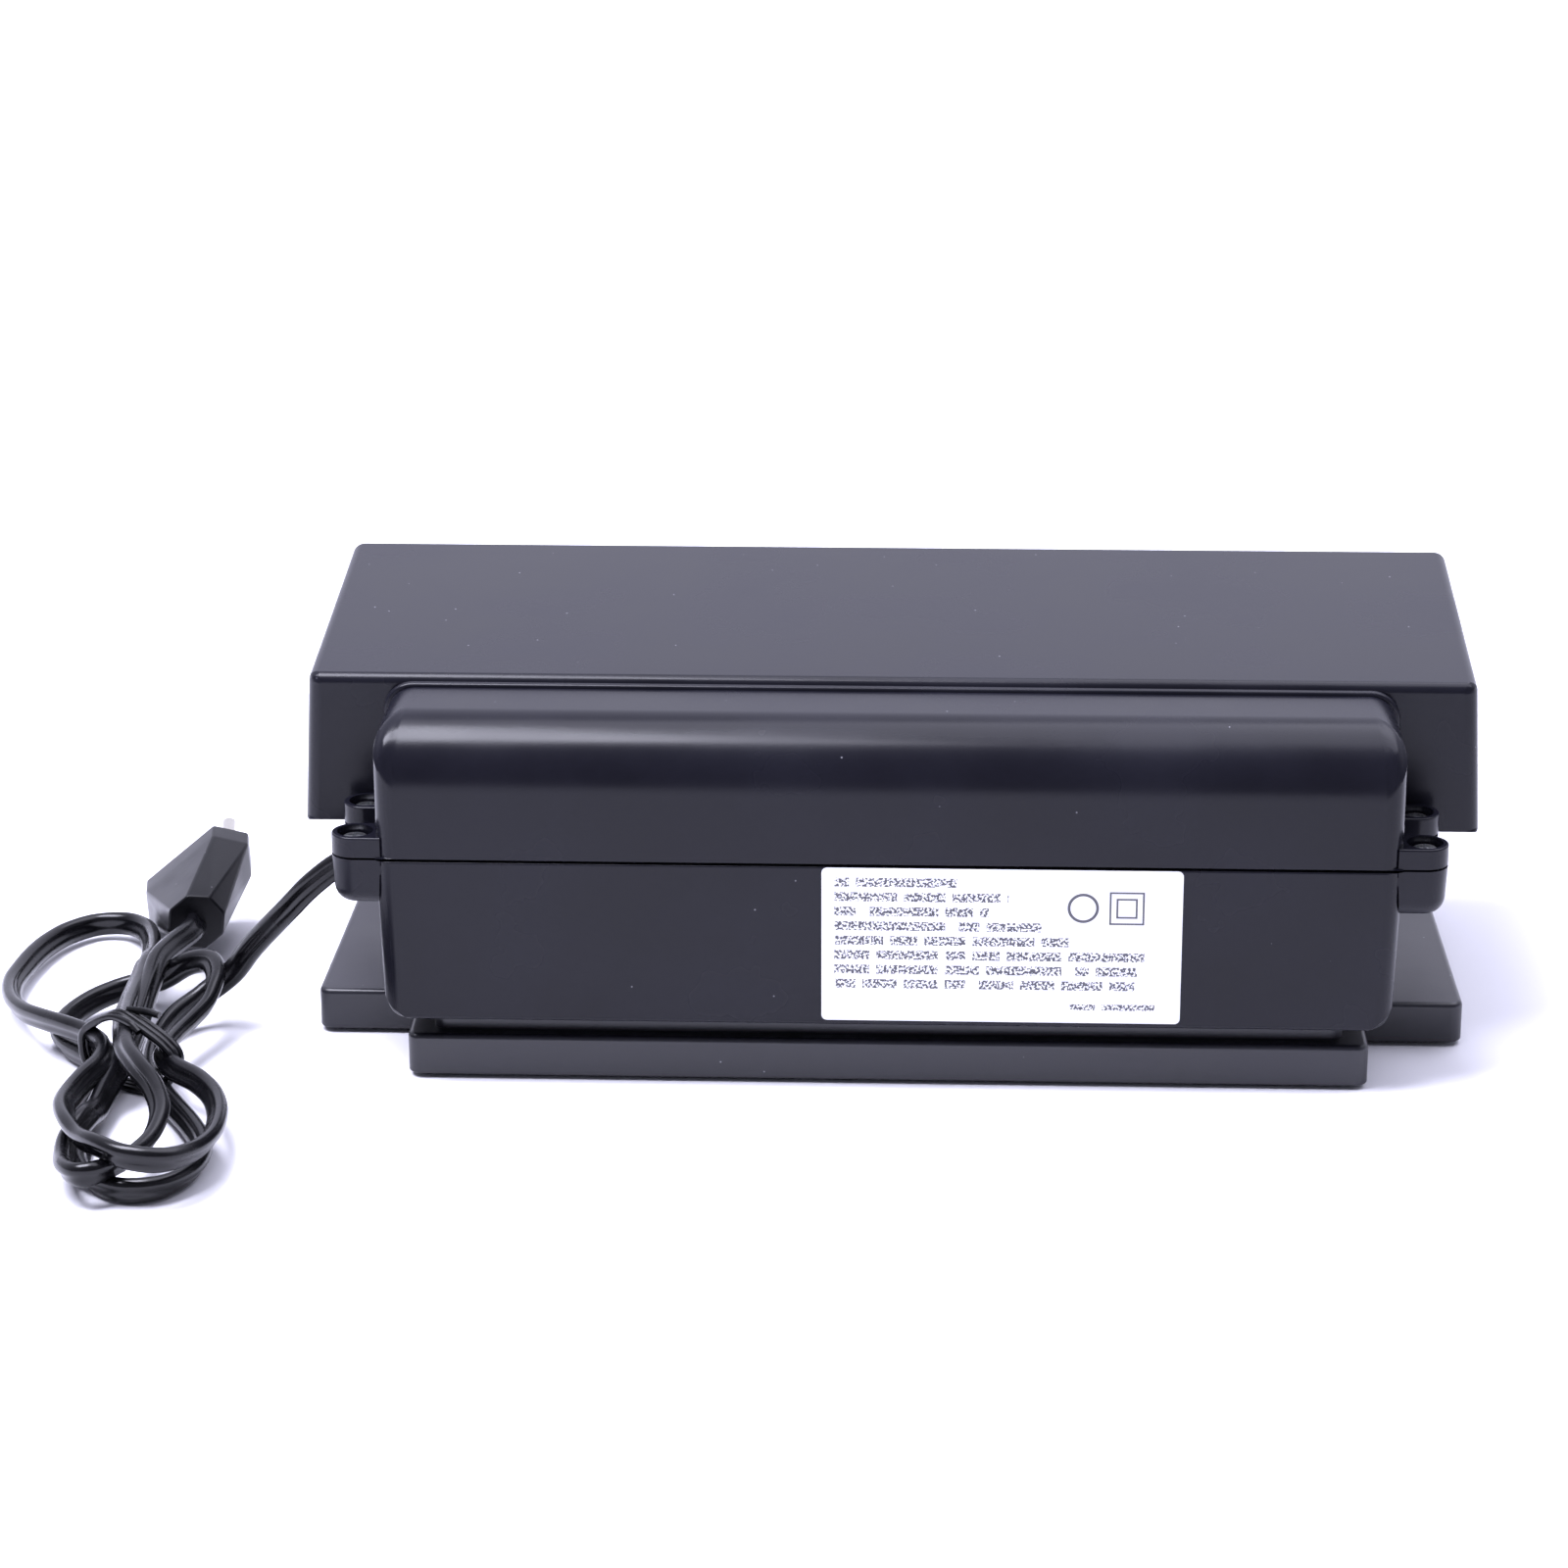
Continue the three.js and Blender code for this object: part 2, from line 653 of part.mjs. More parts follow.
function hoodShell() {
  const outside = hoodBody(0);
  const shell = cut(outside, hoodBody(hoodWall));
  const opening = prism(
    "xz",
    outlineOf([
      [-housingHalfWidth - hoodGap, hoodBottomZ - 1],
      [housingHalfWidth + hoodGap, hoodBottomZ - 1],
      [housingHalfWidth + hoodGap, coverTopZ + hoodGap, coverEndRadius],
      [-housingHalfWidth - hoodGap, coverTopZ + hoodGap, coverEndRadius],
    ]),
    hoodRearY + 1,
    hoodRearY + 1 - housingFrontY + hoodGap,
  );
  const screwBlocks = bothEnds((side) =>
    box(
      span(side * (hoodScrewX - 5), side * (hoodScrewX + 5)),
      [housingFrontY - hoodScrewBite - 1.5, housingFrontY - screwClearance],
      [hoodScrewZ - 4, hoodRearTopZ],
    ),
  );
  const posts = bothEnds((side) =>
    bar(
      "z",
      [side * reflectorScrewX, reflectorScrewY, reflectorTopZ],
      hoodRearTopZ - reflectorTopZ,
      bossRadius,
    ),
  );
  const fixings = join(screwBlocks, posts).intersect(outside);
  const blockHoles = bothEnds((side) =>
    bar(
      "y",
      [side * hoodScrewX, housingFrontY - hoodScrewBite - 0.5, hoodScrewZ],
      hoodScrewBite + 1,
      screwRadius + screwClearance,
      undefined,
      12,
    ),
  );
  const postHoles = bothEnds((side) =>
    bar(
      "z",
      [side * reflectorScrewX, reflectorScrewY, reflectorTopZ - 1],
      reflectorScrewBite + 1,
      screwRadius + screwClearance,
      undefined,
      12,
    ),
  );
  const switchHole = box(
    [
      switchX - switchBodyWidth / 2 - switchCutoutGap,
      switchX + switchBodyWidth / 2 + switchCutoutGap,
    ],
    [hoodFrontY - 1, hoodFrontY + hoodWall + 1],
    [
      switchZ - switchBodyHeight / 2 - switchCutoutGap,
      switchZ + switchBodyHeight / 2 + switchCutoutGap,
    ],
  );
  return cut(join(cut(shell, opening), fixings), blockHoles, postHoles, switchHole);
}

addPart("hood_shell", hoodShell(), blackPlastic);
[-1, 1].forEach((side, i) => {
  const head = [side * hoodScrewX, housingFrontY + housingWall + screwHeadHeight, hoodScrewZ];
  panScrew("y", -1, head, housingWall + hoodScrewBite, `hood_screw_${i + 1}`);
});

// ---- Reflector, lamps and holders ---------------------------------------------------------------

function reflector() {
  const [front, rear] = [reflectorFrontY, reflectorRearY];
  const low = reflectorTopZ - reflectorSkirt;
  const sheet = reflectorSheet;
  const outline = outlineOf([
    [front, reflectorTopZ],
    [front - reflectorSplay, low],
    [front - reflectorSplay + sheet, low],
    [front + sheet, reflectorUnderZ],
    [rear - sheet, reflectorUnderZ],
    [rear + reflectorSplay - sheet, low],
    [rear + reflectorSplay, low],
    [rear, reflectorTopZ],
  ]);
  const sheetBody = prism("yz", outline, -reflectorHalfLength, 2 * reflectorHalfLength);
  const holes = bothEnds((side) =>
    bar(
      "z",
      [side * reflectorScrewX, reflectorScrewY, reflectorUnderZ - 1],
      3,
      screwRadius + screwClearance,
      undefined,
      12,
    ),
  );
  return cut(sheetBody, holes);
}

// A holder's block, with a round pocket for the lamp's two pins and a slot that leads in from below.
function holder(side, lampY) {
  const inner = side * holderX;
  const outer = side * (holderX + holderThickness);
  const width = [lampY - holderHalfWidth, lampY + holderHalfWidth];
  const block = box(span(inner, outer), width, [lampZ - holderDrop, reflectorUnderZ]);
  const pocketDepth = pinLength + 1;
  const pocketFrom = side > 0 ? inner - 1 : inner - pocketDepth;
  const pocket = bar("x", [pocketFrom, lampY, lampZ], pocketDepth + 1, pinPocketRadius);
  const slot = box(
    span(inner - side, inner + side * pocketDepth),
    [lampY - pinSlot / 2, lampY + pinSlot / 2],
    [lampZ - holderDrop - 1, lampZ],
  );
  return cut(block, pocket, slot);
}

// One end cap of a lamp with its two contact pins.
function lampCap(side, lampY) {
  const capInnerX = side * (lampLength / 2 - capLength);
  const capFrom = side > 0 ? capInnerX : -lampLength / 2;
  const cap = bar("x", [capFrom, lampY, lampZ], capLength, capRadius);
  const pinFrom = side > 0 ? lampLength / 2 - 1 : -lampLength / 2 - pinLength;
  const pins = [-1, 1].map((k) =>
    bar(
      "x",
      [pinFrom, lampY + (k * pinSpacing) / 2, lampZ],
      pinLength + 1,
      pinRadius,
      undefined,
      8,
    ),
  );
  return join(cap, ...pins);
}

addPart("reflector", reflector(), aluminiumSheet);
[-1, 1].forEach((side, i) => {
  const head = [side * reflectorScrewX, reflectorScrewY, reflectorUnderZ - screwHeadHeight];
  panScrew("z", 1, head, reflectorSheet + reflectorScrewBite - 1, `reflector_screw_${i + 1}`);
});
for (const [place, lampY] of Object.entries(lampYs)) {
  const glassHalf = lampLength / 2 - capLength;
  addPart(
    `${place}_lamp_glass`,
    bar("x", [-glassHalf, lampY, lampZ], 2 * glassHalf, lampGlassRadius),
    lampGlass,
  );
  for (const [end, side] of Object.entries({ left: -1, right: 1 })) {
    addPart(`${place}_lamp_cap_${end}`, lampCap(side, lampY), aluminiumSheet);
    addPart(`${place}_holder_${end}`, holder(side, lampY), whitePlastic);
  }
}

// ---- Electrical parts in the housing ------------------------------------------------------------

// A core: one limb between two end yokes. The coil is a square ring around the limb.
function ballastCore(x) {
  const half = ballastLength / 2;
  const middleZ = shellInnerZ + ballastHeight / 2;
  const limb = box(
    [x - half + 1, x + half - 1],
    [standY - ballastLimb / 2, standY + ballastLimb / 2],
    [middleZ - ballastLimb / 2, middleZ + ballastLimb / 2],
  );
  const yoke = (side) =>
    box(
      span(x + side * half, x + side * (half - ballastEnd)),
      [standY - ballastWidth / 2, standY + ballastWidth / 2],
      [shellInnerZ, shellInnerZ + ballastHeight],
    );
  return join(limb, yoke(-1), yoke(1));
}

function ballastCoil(x) {
  const half = ballastLength / 2 - ballastEnd - coilClearance;
  const middleZ = shellInnerZ + ballastHeight / 2;
  const outer = ballastWidth / 2 - 1;
  const window = ballastLimb / 2 + coilClearance;
  const ring = rectangle([standY - outer, standY + outer], [middleZ - outer, middleZ + outer], 3);
  const opening = box(
    [x - half - 1, x + half + 1],
    [standY - window, standY + window],
    [middleZ - window, middleZ + window],
  );
  return cut(prism("yz", ring, x - half, 2 * half), opening);
}

function starter(x) {
  const foot = shellInnerZ + socketHeight + starterPinGap;
  const can = bar("z", [x, standY, foot], starterHeight, starterRadius);
  const rim = bar("z", [x, standY, foot], 2, socketRadius - 0.5);
  return join(can, rim);
}

function terminalBlock() {
  const x = [terminalX - terminalWidth / 2, terminalX + terminalWidth / 2];
  const y = [standY - terminalDepth / 2, standY + terminalDepth / 2];
  const block = box(x, y, [shellInnerZ, shellInnerZ + terminalHeight]);
  const wells = [-1, 0, 1].map((k) =>
    bar("z", [terminalX, standY + (k * terminalDepth) / 3, shellInnerZ + 6], terminalHeight, 2.2),
  );
  return cut(block, ...wells);
}

starterXs.forEach((x, i) => {
  const socket = bar("z", [x, standY, shellInnerZ], socketHeight, socketRadius);
  addPart(`starter_socket_${i + 1}`, socket, whitePlastic);
  addPart(`starter_${i + 1}`, starter(x), whitePlastic);
});
ballastXs.forEach((x, i) => {
  addPart(`ballast_core_${i + 1}`, ballastCore(x), laminatedSteel);
  addPart(`ballast_coil_${i + 1}`, ballastCoil(x), copperWinding);
});
addPart("terminal_block", terminalBlock(), whitePlastic);

// ---- Power switch -------------------------------------------------------------------------------

function switchBody() {
  const x = (half) => [switchX - half, switchX + half];
  const z = (half) => [switchZ - half, switchZ + half];
  const bezel = prism(
    "xz",
    rectangle(x(bezelWidth / 2), z(bezelHeight / 2), 1.5),
    hoodFrontY,
    bezelThickness,
  );
  const body = box(
    x(switchBodyWidth / 2),
    [hoodFrontY - 0.5, hoodFrontY + switchDepth],
    z(switchBodyHeight / 2),
  );
  const tabs = [-1, 1].map((side) =>
    box(
      [switchX + side * 5 - 2.4, switchX + side * 5 + 2.4],
      [hoodFrontY + switchDepth - 0.5, hoodFrontY + switchDepth + switchTabLength],
      [switchZ - 0.4, switchZ + 0.4],
    ),
  );
  const pocket = box(
    x(rockerHalfWidth + 2.4 * rockerGap),
    [hoodFrontY - bezelThickness - 1, hoodFrontY + switchPocketDepth],
    z(rockerHeight / 2 + rockerGap),
  );
  return cut(join(bezel, body, ...tabs), pocket);
}

// A shallow V-faced key, drawn about its pivot in the middle position and then tipped to off.
function addRocker() {
  const faceY = -(bezelThickness + 1.5);
  const outline = outlineOf([
    [-rockerHalfWidth, faceY - 1.6, 0.6],
    [0, faceY - 0.4],
    [rockerHalfWidth, faceY - 1.6, 0.6],
    [rockerHalfWidth, 0.6],
    [3.5, 5.5, 1],
    [-3.5, 5.5, 1],
    [-rockerHalfWidth, 0.6],
  ]);
  const key = prism("xy", outline, -rockerHeight / 2, rockerHeight);
  const mesh = addPart("switch_rocker", key, blackPlastic);
  mesh.position.set(switchX, rockerPivotY, switchZ);
  mesh.rotation.z = THREE.MathUtils.degToRad(-rockerTilt);
}

addPart("switch_body", switchBody(), blackPlastic);
addRocker();

// ---- Mains lead ---------------------------------------------------------------------------------

function grommet() {
  const wallX = housingHalfWidth;
  const flangeGap = 0.3;
  const inner = wallX - housingWall - 0.6;
  const profile = [
    [0, inner - grommetInside],
    [grommetNeck, inner - grommetInside],
    [grommetRadius, inner - grommetFlange - flangeGap],
    [grommetRadius, inner - flangeGap],
    [grommetNeck, inner - flangeGap],
    [grommetNeck, wallX + flangeGap],
    [grommetRadius, wallX + flangeGap],
    [grommetRadius, wallX + flangeGap + grommetFlange],
    [grommetNeck - 0.4, wallX + grommetOutside - 0.8],
    [0, wallX + grommetOutside - 0.8],
  ].map(([r, x]) => new THREE.Vector2(r, x));
  const geometry = new THREE.LatheGeometry(profile, 20);
  geometry.rotateZ(-Math.PI / 2);
  geometry.translate(0, grommetY, grommetZ);
  return solid(geometry);
}

const vector = (point) => new THREE.Vector3(...point);

// A flat cord through points: its section is an ellipse with its long way in the plane's v direction.
function cordTube(points, steps) {
  const section = new THREE.Shape();
  for (let i = 0; i < cordSides; i++) {
    const angle = (2 * Math.PI * (i + 0.5)) / cordSides;
    const u = (Math.cos(angle) * cordWidth) / 2;
    const v = (Math.sin(angle) * cordThickness) / 2;
    if (i === 0) section.moveTo(u, v);
    else section.lineTo(u, v);
  }
  section.closePath();
  const path = new THREE.CatmullRomCurve3(points.map(vector));
  const geometry = new THREE.ExtrudeGeometry(section, { steps, extrudePath: path });
  return solid(geometry);
}

function bundle() {
  const outline = new THREE.Shape();
  const curve = new THREE.CatmullRomCurve3(
    bundleOutline.map(([x, y]) => new THREE.Vector3(x, y, 0)),
    true,
  );
  const points = curve.getPoints(56).slice(0, -1);
  outline.setFromPoints(points.map((p) => new THREE.Vector2(p.x, p.y)));
  const whole = prism("xy", outline, 0, bundleHeight);
  const seatY = [tieY - tieWidth / 2 - cordGap, tieY + tieWidth / 2 + cordGap];
  const seat = box([100, 260], seatY, [-1, bundleHeight + 1]);
  const [left, right] = bundleWaist;
  const waist = box(
    [left + tieInset, right - tieInset],
    [seatY[0] - 1, seatY[1] + 1],
    [tieInset, bundleHeight - tieInset],
  );
  return cut(whole, cut(seat, waist));
}

function tie() {
  const y = [tieY + tieWidth / 2, tieWidth];
  const [left, right] = bundleWaist;
  const ring = (inset) =>
    rectangle(
      [left + tieInset - inset, right - tieInset + inset],
      [tieInset - inset, bundleHeight - tieInset + inset],
    );
  const outer = prism("xz", ring(cordGap + tieThickness), ...y);
  return cut(outer, prism("xz", ring(cordGap), y[0] + 1, y[1] + 2));
}

addPart("cord_grommet", grommet(), blackRubber);
addPart("cord_lead", cordTube(leadPoints, 8), cordPvc);
addPart("cord_bundle", bundle(), cordPvc);
addPart("cord_tie", tie(), cordPvc);
addPart("cord_tail", cordTube(tailPoints, 3), cordPvc);

// ---- Plug ---------------------------------------------------------------------------------------

// The plug's own frame: its nose along +Z, its wide way along X.
function plugFrame() {
  const yaw = THREE.MathUtils.degToRad(plugYaw);
  const nose = new THREE.Vector3(Math.sin(yaw), -Math.cos(yaw), 0);
  const up = new THREE.Vector3(0, 0, 1);
  const level = new THREE.Vector3().crossVectors(up, nose);
  const frame = new THREE.Matrix4().makeBasis(level, up, nose);
  const lean = new THREE.Matrix4().makeRotationZ(-THREE.MathUtils.degToRad(plugRoll));
  return frame.multiply(lean);
}

function plugBody() {
  const corner = (u, v, depth) => new THREE.Vector3(u, v, depth);
  const cableEnd = Array.from({ length: 8 }, (_, i) => {
    const angle = (Math.PI * (2 * i + 1)) / 8;
    return corner(plugEndRadius * Math.cos(angle), plugEndRadius * Math.sin(angle), 0);
  });
  const rim = [plugLength - plugRim, plugLength].flatMap((depth) =>
    [-1, 1].flatMap((side) => [
      corner(side * plugHalfWidth, 0, depth),
      corner(side * plugHalfFlat, plugHalfHeight, depth),
      corner(side * plugHalfFlat, -plugHalfHeight, depth),
    ]),
  );
  const bores = bothEnds((side) =>
    bar(
      "z",
      [(side * plugPinSpacing) / 2, 0, plugLength - plugPinBore],
      plugPinBore + 1,
      plugPinRadius + plugPinGap,
      undefined,
      16,
    ),
  );
  return cut(solid(new ConvexGeometry([...cableEnd, ...rim])), bores);
}

function plugPin(side) {
  const foot = plugLength - plugPinBore + plugPinGap;
  const length = plugPinLength + plugPinBore - plugPinGap;
  const shank = bar("z", [(side * plugPinSpacing) / 2, 0, foot], length - 1, plugPinRadius, undefined, 16);
  const tip = bar(
    "z",
    [(side * plugPinSpacing) / 2, 0, foot + length - 1],
    1,
    plugPinRadius,
    plugPinRadius - 0.8,
    16,
  );
  return join(shank, tip);
}

const plug = new THREE.Group();
plug.position.set(...plugRear);
plug.quaternion.setFromRotationMatrix(plugFrame());
plug.add(addPart("plug_body", plugBody(), cordPvc));
plug.add(addPart("plug_pin_1", plugPin(-1), nickelPin));
plug.add(addPart("plug_pin_2", plugPin(1), nickelPin));
root.add(plug);

export default root;
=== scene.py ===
"""Ultraviolet counterfeit bill detector: lamp hood, ballast housing, T-shaped base and tied mains cord.

Pieces are drawn in millimetres in the part's frame and scaled to metres when they are finished.
"""
import math

import bmesh
import bpy
from mathutils import Matrix, Vector
from mathutils.geometry import interpolate_bezier


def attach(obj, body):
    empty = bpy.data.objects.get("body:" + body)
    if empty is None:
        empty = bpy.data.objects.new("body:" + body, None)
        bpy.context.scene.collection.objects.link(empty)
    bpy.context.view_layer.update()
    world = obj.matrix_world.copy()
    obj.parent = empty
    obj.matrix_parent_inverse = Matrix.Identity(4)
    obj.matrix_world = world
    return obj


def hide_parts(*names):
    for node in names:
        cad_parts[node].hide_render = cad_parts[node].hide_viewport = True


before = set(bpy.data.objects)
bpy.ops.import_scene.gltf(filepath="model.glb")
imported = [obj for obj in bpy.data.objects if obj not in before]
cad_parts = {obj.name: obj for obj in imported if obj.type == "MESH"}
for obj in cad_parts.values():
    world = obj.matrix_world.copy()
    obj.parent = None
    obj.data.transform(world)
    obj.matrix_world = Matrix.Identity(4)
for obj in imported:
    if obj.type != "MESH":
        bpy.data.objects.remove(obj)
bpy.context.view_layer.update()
MM = 0.001

# ---- Sizes shared by several pieces, in millimetres ---------------------------------------------

HOUSING_HALF = 112.0
HOUSING_FRONT, HOUSING_REAR = 28.0, 73.0
SEAM_Z = 52.6
SEAM_GAP = 0.5
COVER_TOP = 83.0
FLOOR_Z = 15.2  # underside of the lower shell
WALL = 2.5
HOOD_FRONT, HOOD_REAR = -54.3, 41.0
HOOD_BOTTOM, HOOD_TOP = 50.4, 85.0
HOOD_HALF = 130.0
BASE_BOTTOM, BASE_TOP = 1.0, 10.5
BEAD_FRONT, BEAD_REAR, BEAD_PROUD = 41.3, 43.5, 0.9
EAR_X, EAR_RADIUS = 116.8, 5.2
EAR_YS = (66.9, 46.5)
LUG_TOP, LUG_SEAT = SEAM_Z + 4.8, 2.8  # the cover's ears, and how deep the screw heads sit
LAMP_Z = 62.0
LAMP_YS = {"front": -19.0, "rear": 6.0}
HOLDER_X = 106.4
REFLECTOR_TOP, REFLECTOR_SHEET = 78.0, 0.8
BASE_SCREWS = [(side * 96, y) for side in (-1, 1) for y in (34, 60)]
EARS = [(side, y) for side in (-1, 1) for y in EAR_YS]
HOOD_SCREW_X, HOOD_SCREW_Z = 70.0, 74.0
REFLECTOR_SCREW_X, LAMPS_MIDDLE = 60.0, -6.5
SCREW_HOLE, POST = 1.8, 3.6  # radii
TRAY_FRONT, TRAY_REAR = -73.0, 44.0
TRAY_HALF, TRAY_TAPER = 130.0, 1.4
TAIL_HALF, TAIL_REAR = 106.5, 70.0
LABEL_X, LABEL_Z = (-64.4, 14.2), (16.6, 52.2)
SWITCH_X, SWITCH_Z = 105.0, 69.0
CORD_Y, CORD_Z = 56.0, 45.6  # where the cord leaves the housing
UP = Vector((0, 0, 1))


# ---- Camera -------------------------------------------------------------------------------------

def add_camera():
    """A long lens behind the detector, a little above it."""
    data = bpy.data.cameras.new("camera")
    data.lens = 98.06
    data.sensor_width = 36
    camera = bpy.data.objects.new("camera", data)
    bpy.context.scene.collection.objects.link(camera)
    pitch, yaw, roll = (math.radians(angle) for angle in (19.006, 2.369, -0.157))
    forward = Vector(
        (math.sin(yaw) * math.cos(pitch), -math.cos(yaw) * math.cos(pitch), -math.sin(pitch))
    )
    right = forward.cross(UP).normalized()
    up = right.cross(forward)
    level = right * math.cos(roll) + up * math.sin(roll)
    upright = up * math.cos(roll) - right * math.sin(roll)
    turn = Matrix((level, upright, -forward)).transposed().to_4x4()
    camera.matrix_world = Matrix.Translation(Vector((-13.76, 944.89, 371.89)) * MM) @ turn
    bpy.context.scene.camera = camera


add_camera()


# ---- Materials ----------------------------------------------------------------------------------

def linear(shade):
    """An sRGB hex colour as linear RGBA."""
    channels = [int(shade[i : i + 2], 16) / 255 for i in (0, 2, 4)]
    return (*[c / 12.92 if c <= 0.04045 else ((c + 0.055) / 1.055) ** 2.4 for c in channels], 1)


def set_up(tree, node, settings):
    """Each setting is one of the node's properties, a socket's value, or the output that feeds a socket."""
    for name, value in settings.items():
        if isinstance(value, bpy.types.NodeSocket):
            tree.links.new(value, node.inputs[name])
        elif isinstance(name, str) and hasattr(node, name):
            setattr(node, name, value)
        else:
            node.inputs[name].default_value = value


def add(tree, kind, settings=None):
    """Adds a shader node of that kind with its settings and links."""
    node = tree.nodes.new("ShaderNode" + kind)
    set_up(tree, node, settings or {})
    return node


def new_material(name):
    made = bpy.data.materials.new(name)
    made.use_nodes = True
    return made, made.node_tree, made.node_tree.nodes["Principled BSDF"]


def per_metre(millimetres):
    """A noise scale whose features are that many millimetres across."""
    return 1 / (millimetres * MM)


def moulded(name, shade, pale, gloss, grain, relief, cloud=38, dust=0.0, specular=0.5, coat=0.0):
    """A moulded or extruded plastic: fine grain from its tool, cloudy gloss and tone, and dust."""
    made, tree, shader = new_material(name)
    place = add(tree, "TexCoord").outputs["Object"]
    clouds = add(
        tree, "TexNoise", {"Scale": per_metre(cloud), "Detail": 4.0, "Vector": place}
    ).outputs["Fac"]
    grains = add(
        tree, "TexNoise", {"Scale": per_metre(grain), "Detail": 3.0, "Vector": place}
    ).outputs["Fac"]
    patch = add(
        tree, "MapRange", {"From Min": 0.38, "From Max": 0.68, "Value": clouds}
    ).outputs["Result"]
    tone = add(
        tree,
        "Mix",
        {"data_type": "RGBA", 6: linear(shade), 7: linear(pale), 0: patch},
    ).outputs[2]
    if dust:
        # Settled dust: specks about 0.3 mm across, some 7 mm apart.
        specks = add(
            tree,
            "TexVoronoi",
            {"Scale": per_metre(7), "Vector": place},
        ).outputs["Distance"]
        speck = add(
            tree,
            "MapRange",
            {"From Min": 0.035, "From Max": 0.015, "To Max": dust, "Value": specks},
        ).outputs["Result"]
        tone = add(
            tree,
            "Mix",
            {"data_type": "RGBA", 7: linear("a6a6ae"), 0: speck, 6: tone},
        ).outputs[2]
    low, high = gloss
    finish = add(
        tree,
        "MapRange",
        {"From Min": 0.35, "From Max": 0.65, "To Min": low, "To Max": high, "Value": clouds},
    ).outputs["Result"]
    bump = add(tree, "Bump", {"Distance": relief * MM, "Height": grains}).outputs["Normal"]
    look = {"Base Color": tone, "Roughness": finish, "Normal": bump, "Specular IOR Level": specular}
    set_up(tree, shader, {**look, "Coat Weight": coat, "Coat Roughness": 0.12})
    return made


def bare_metal(name, shade, pale, gloss, grain, relief, stretch=(1, 1, 1)):
    """A bare or plated metal: its grain may be drawn out along an axis, as rolling and drawing leave it."""
    made, tree, shader = new_material(name)
    place = add(tree, "TexCoord").outputs["Object"]
    along = add(tree, "Mapping", {"Scale": stretch, "Vector": place}).outputs["Vector"]
    lines = add(
        tree, "TexNoise", {"Scale": per_metre(grain), "Detail": 4.0, "Vector": along}
    ).outputs["Fac"]
    tone = add(
        tree,
        "Mix",
        {"data_type": "RGBA", 6: linear(shade), 7: linear(pale), 0: lines},
    ).outputs[2]
    low, high = gloss
    finish = add(tree, "MapRange", {"To Min": low, "To Max": high, "Value": lines}).outputs["Result"]
    bump = add(tree, "Bump", {"Distance": relief * MM, "Height": lines}).outputs["Normal"]
    set_up(tree, shader, {"Base Color": tone, "Roughness": finish, "Normal": bump, "Metallic": 1.0})
    return made


# The label's print, in millimetres from the corner where reading starts.
ROW_PITCH, FIRST_ROW, LETTER = 3.38, 2.2, 1.5
ROW_ENDS = (29.5, 41.0, 36.5, 48.0, 54.0, 70.5, 69.0, 68.5)
SQUARES, RING = (66.5, 8.7, 0.0), (57.0, 8.7, 0.0)


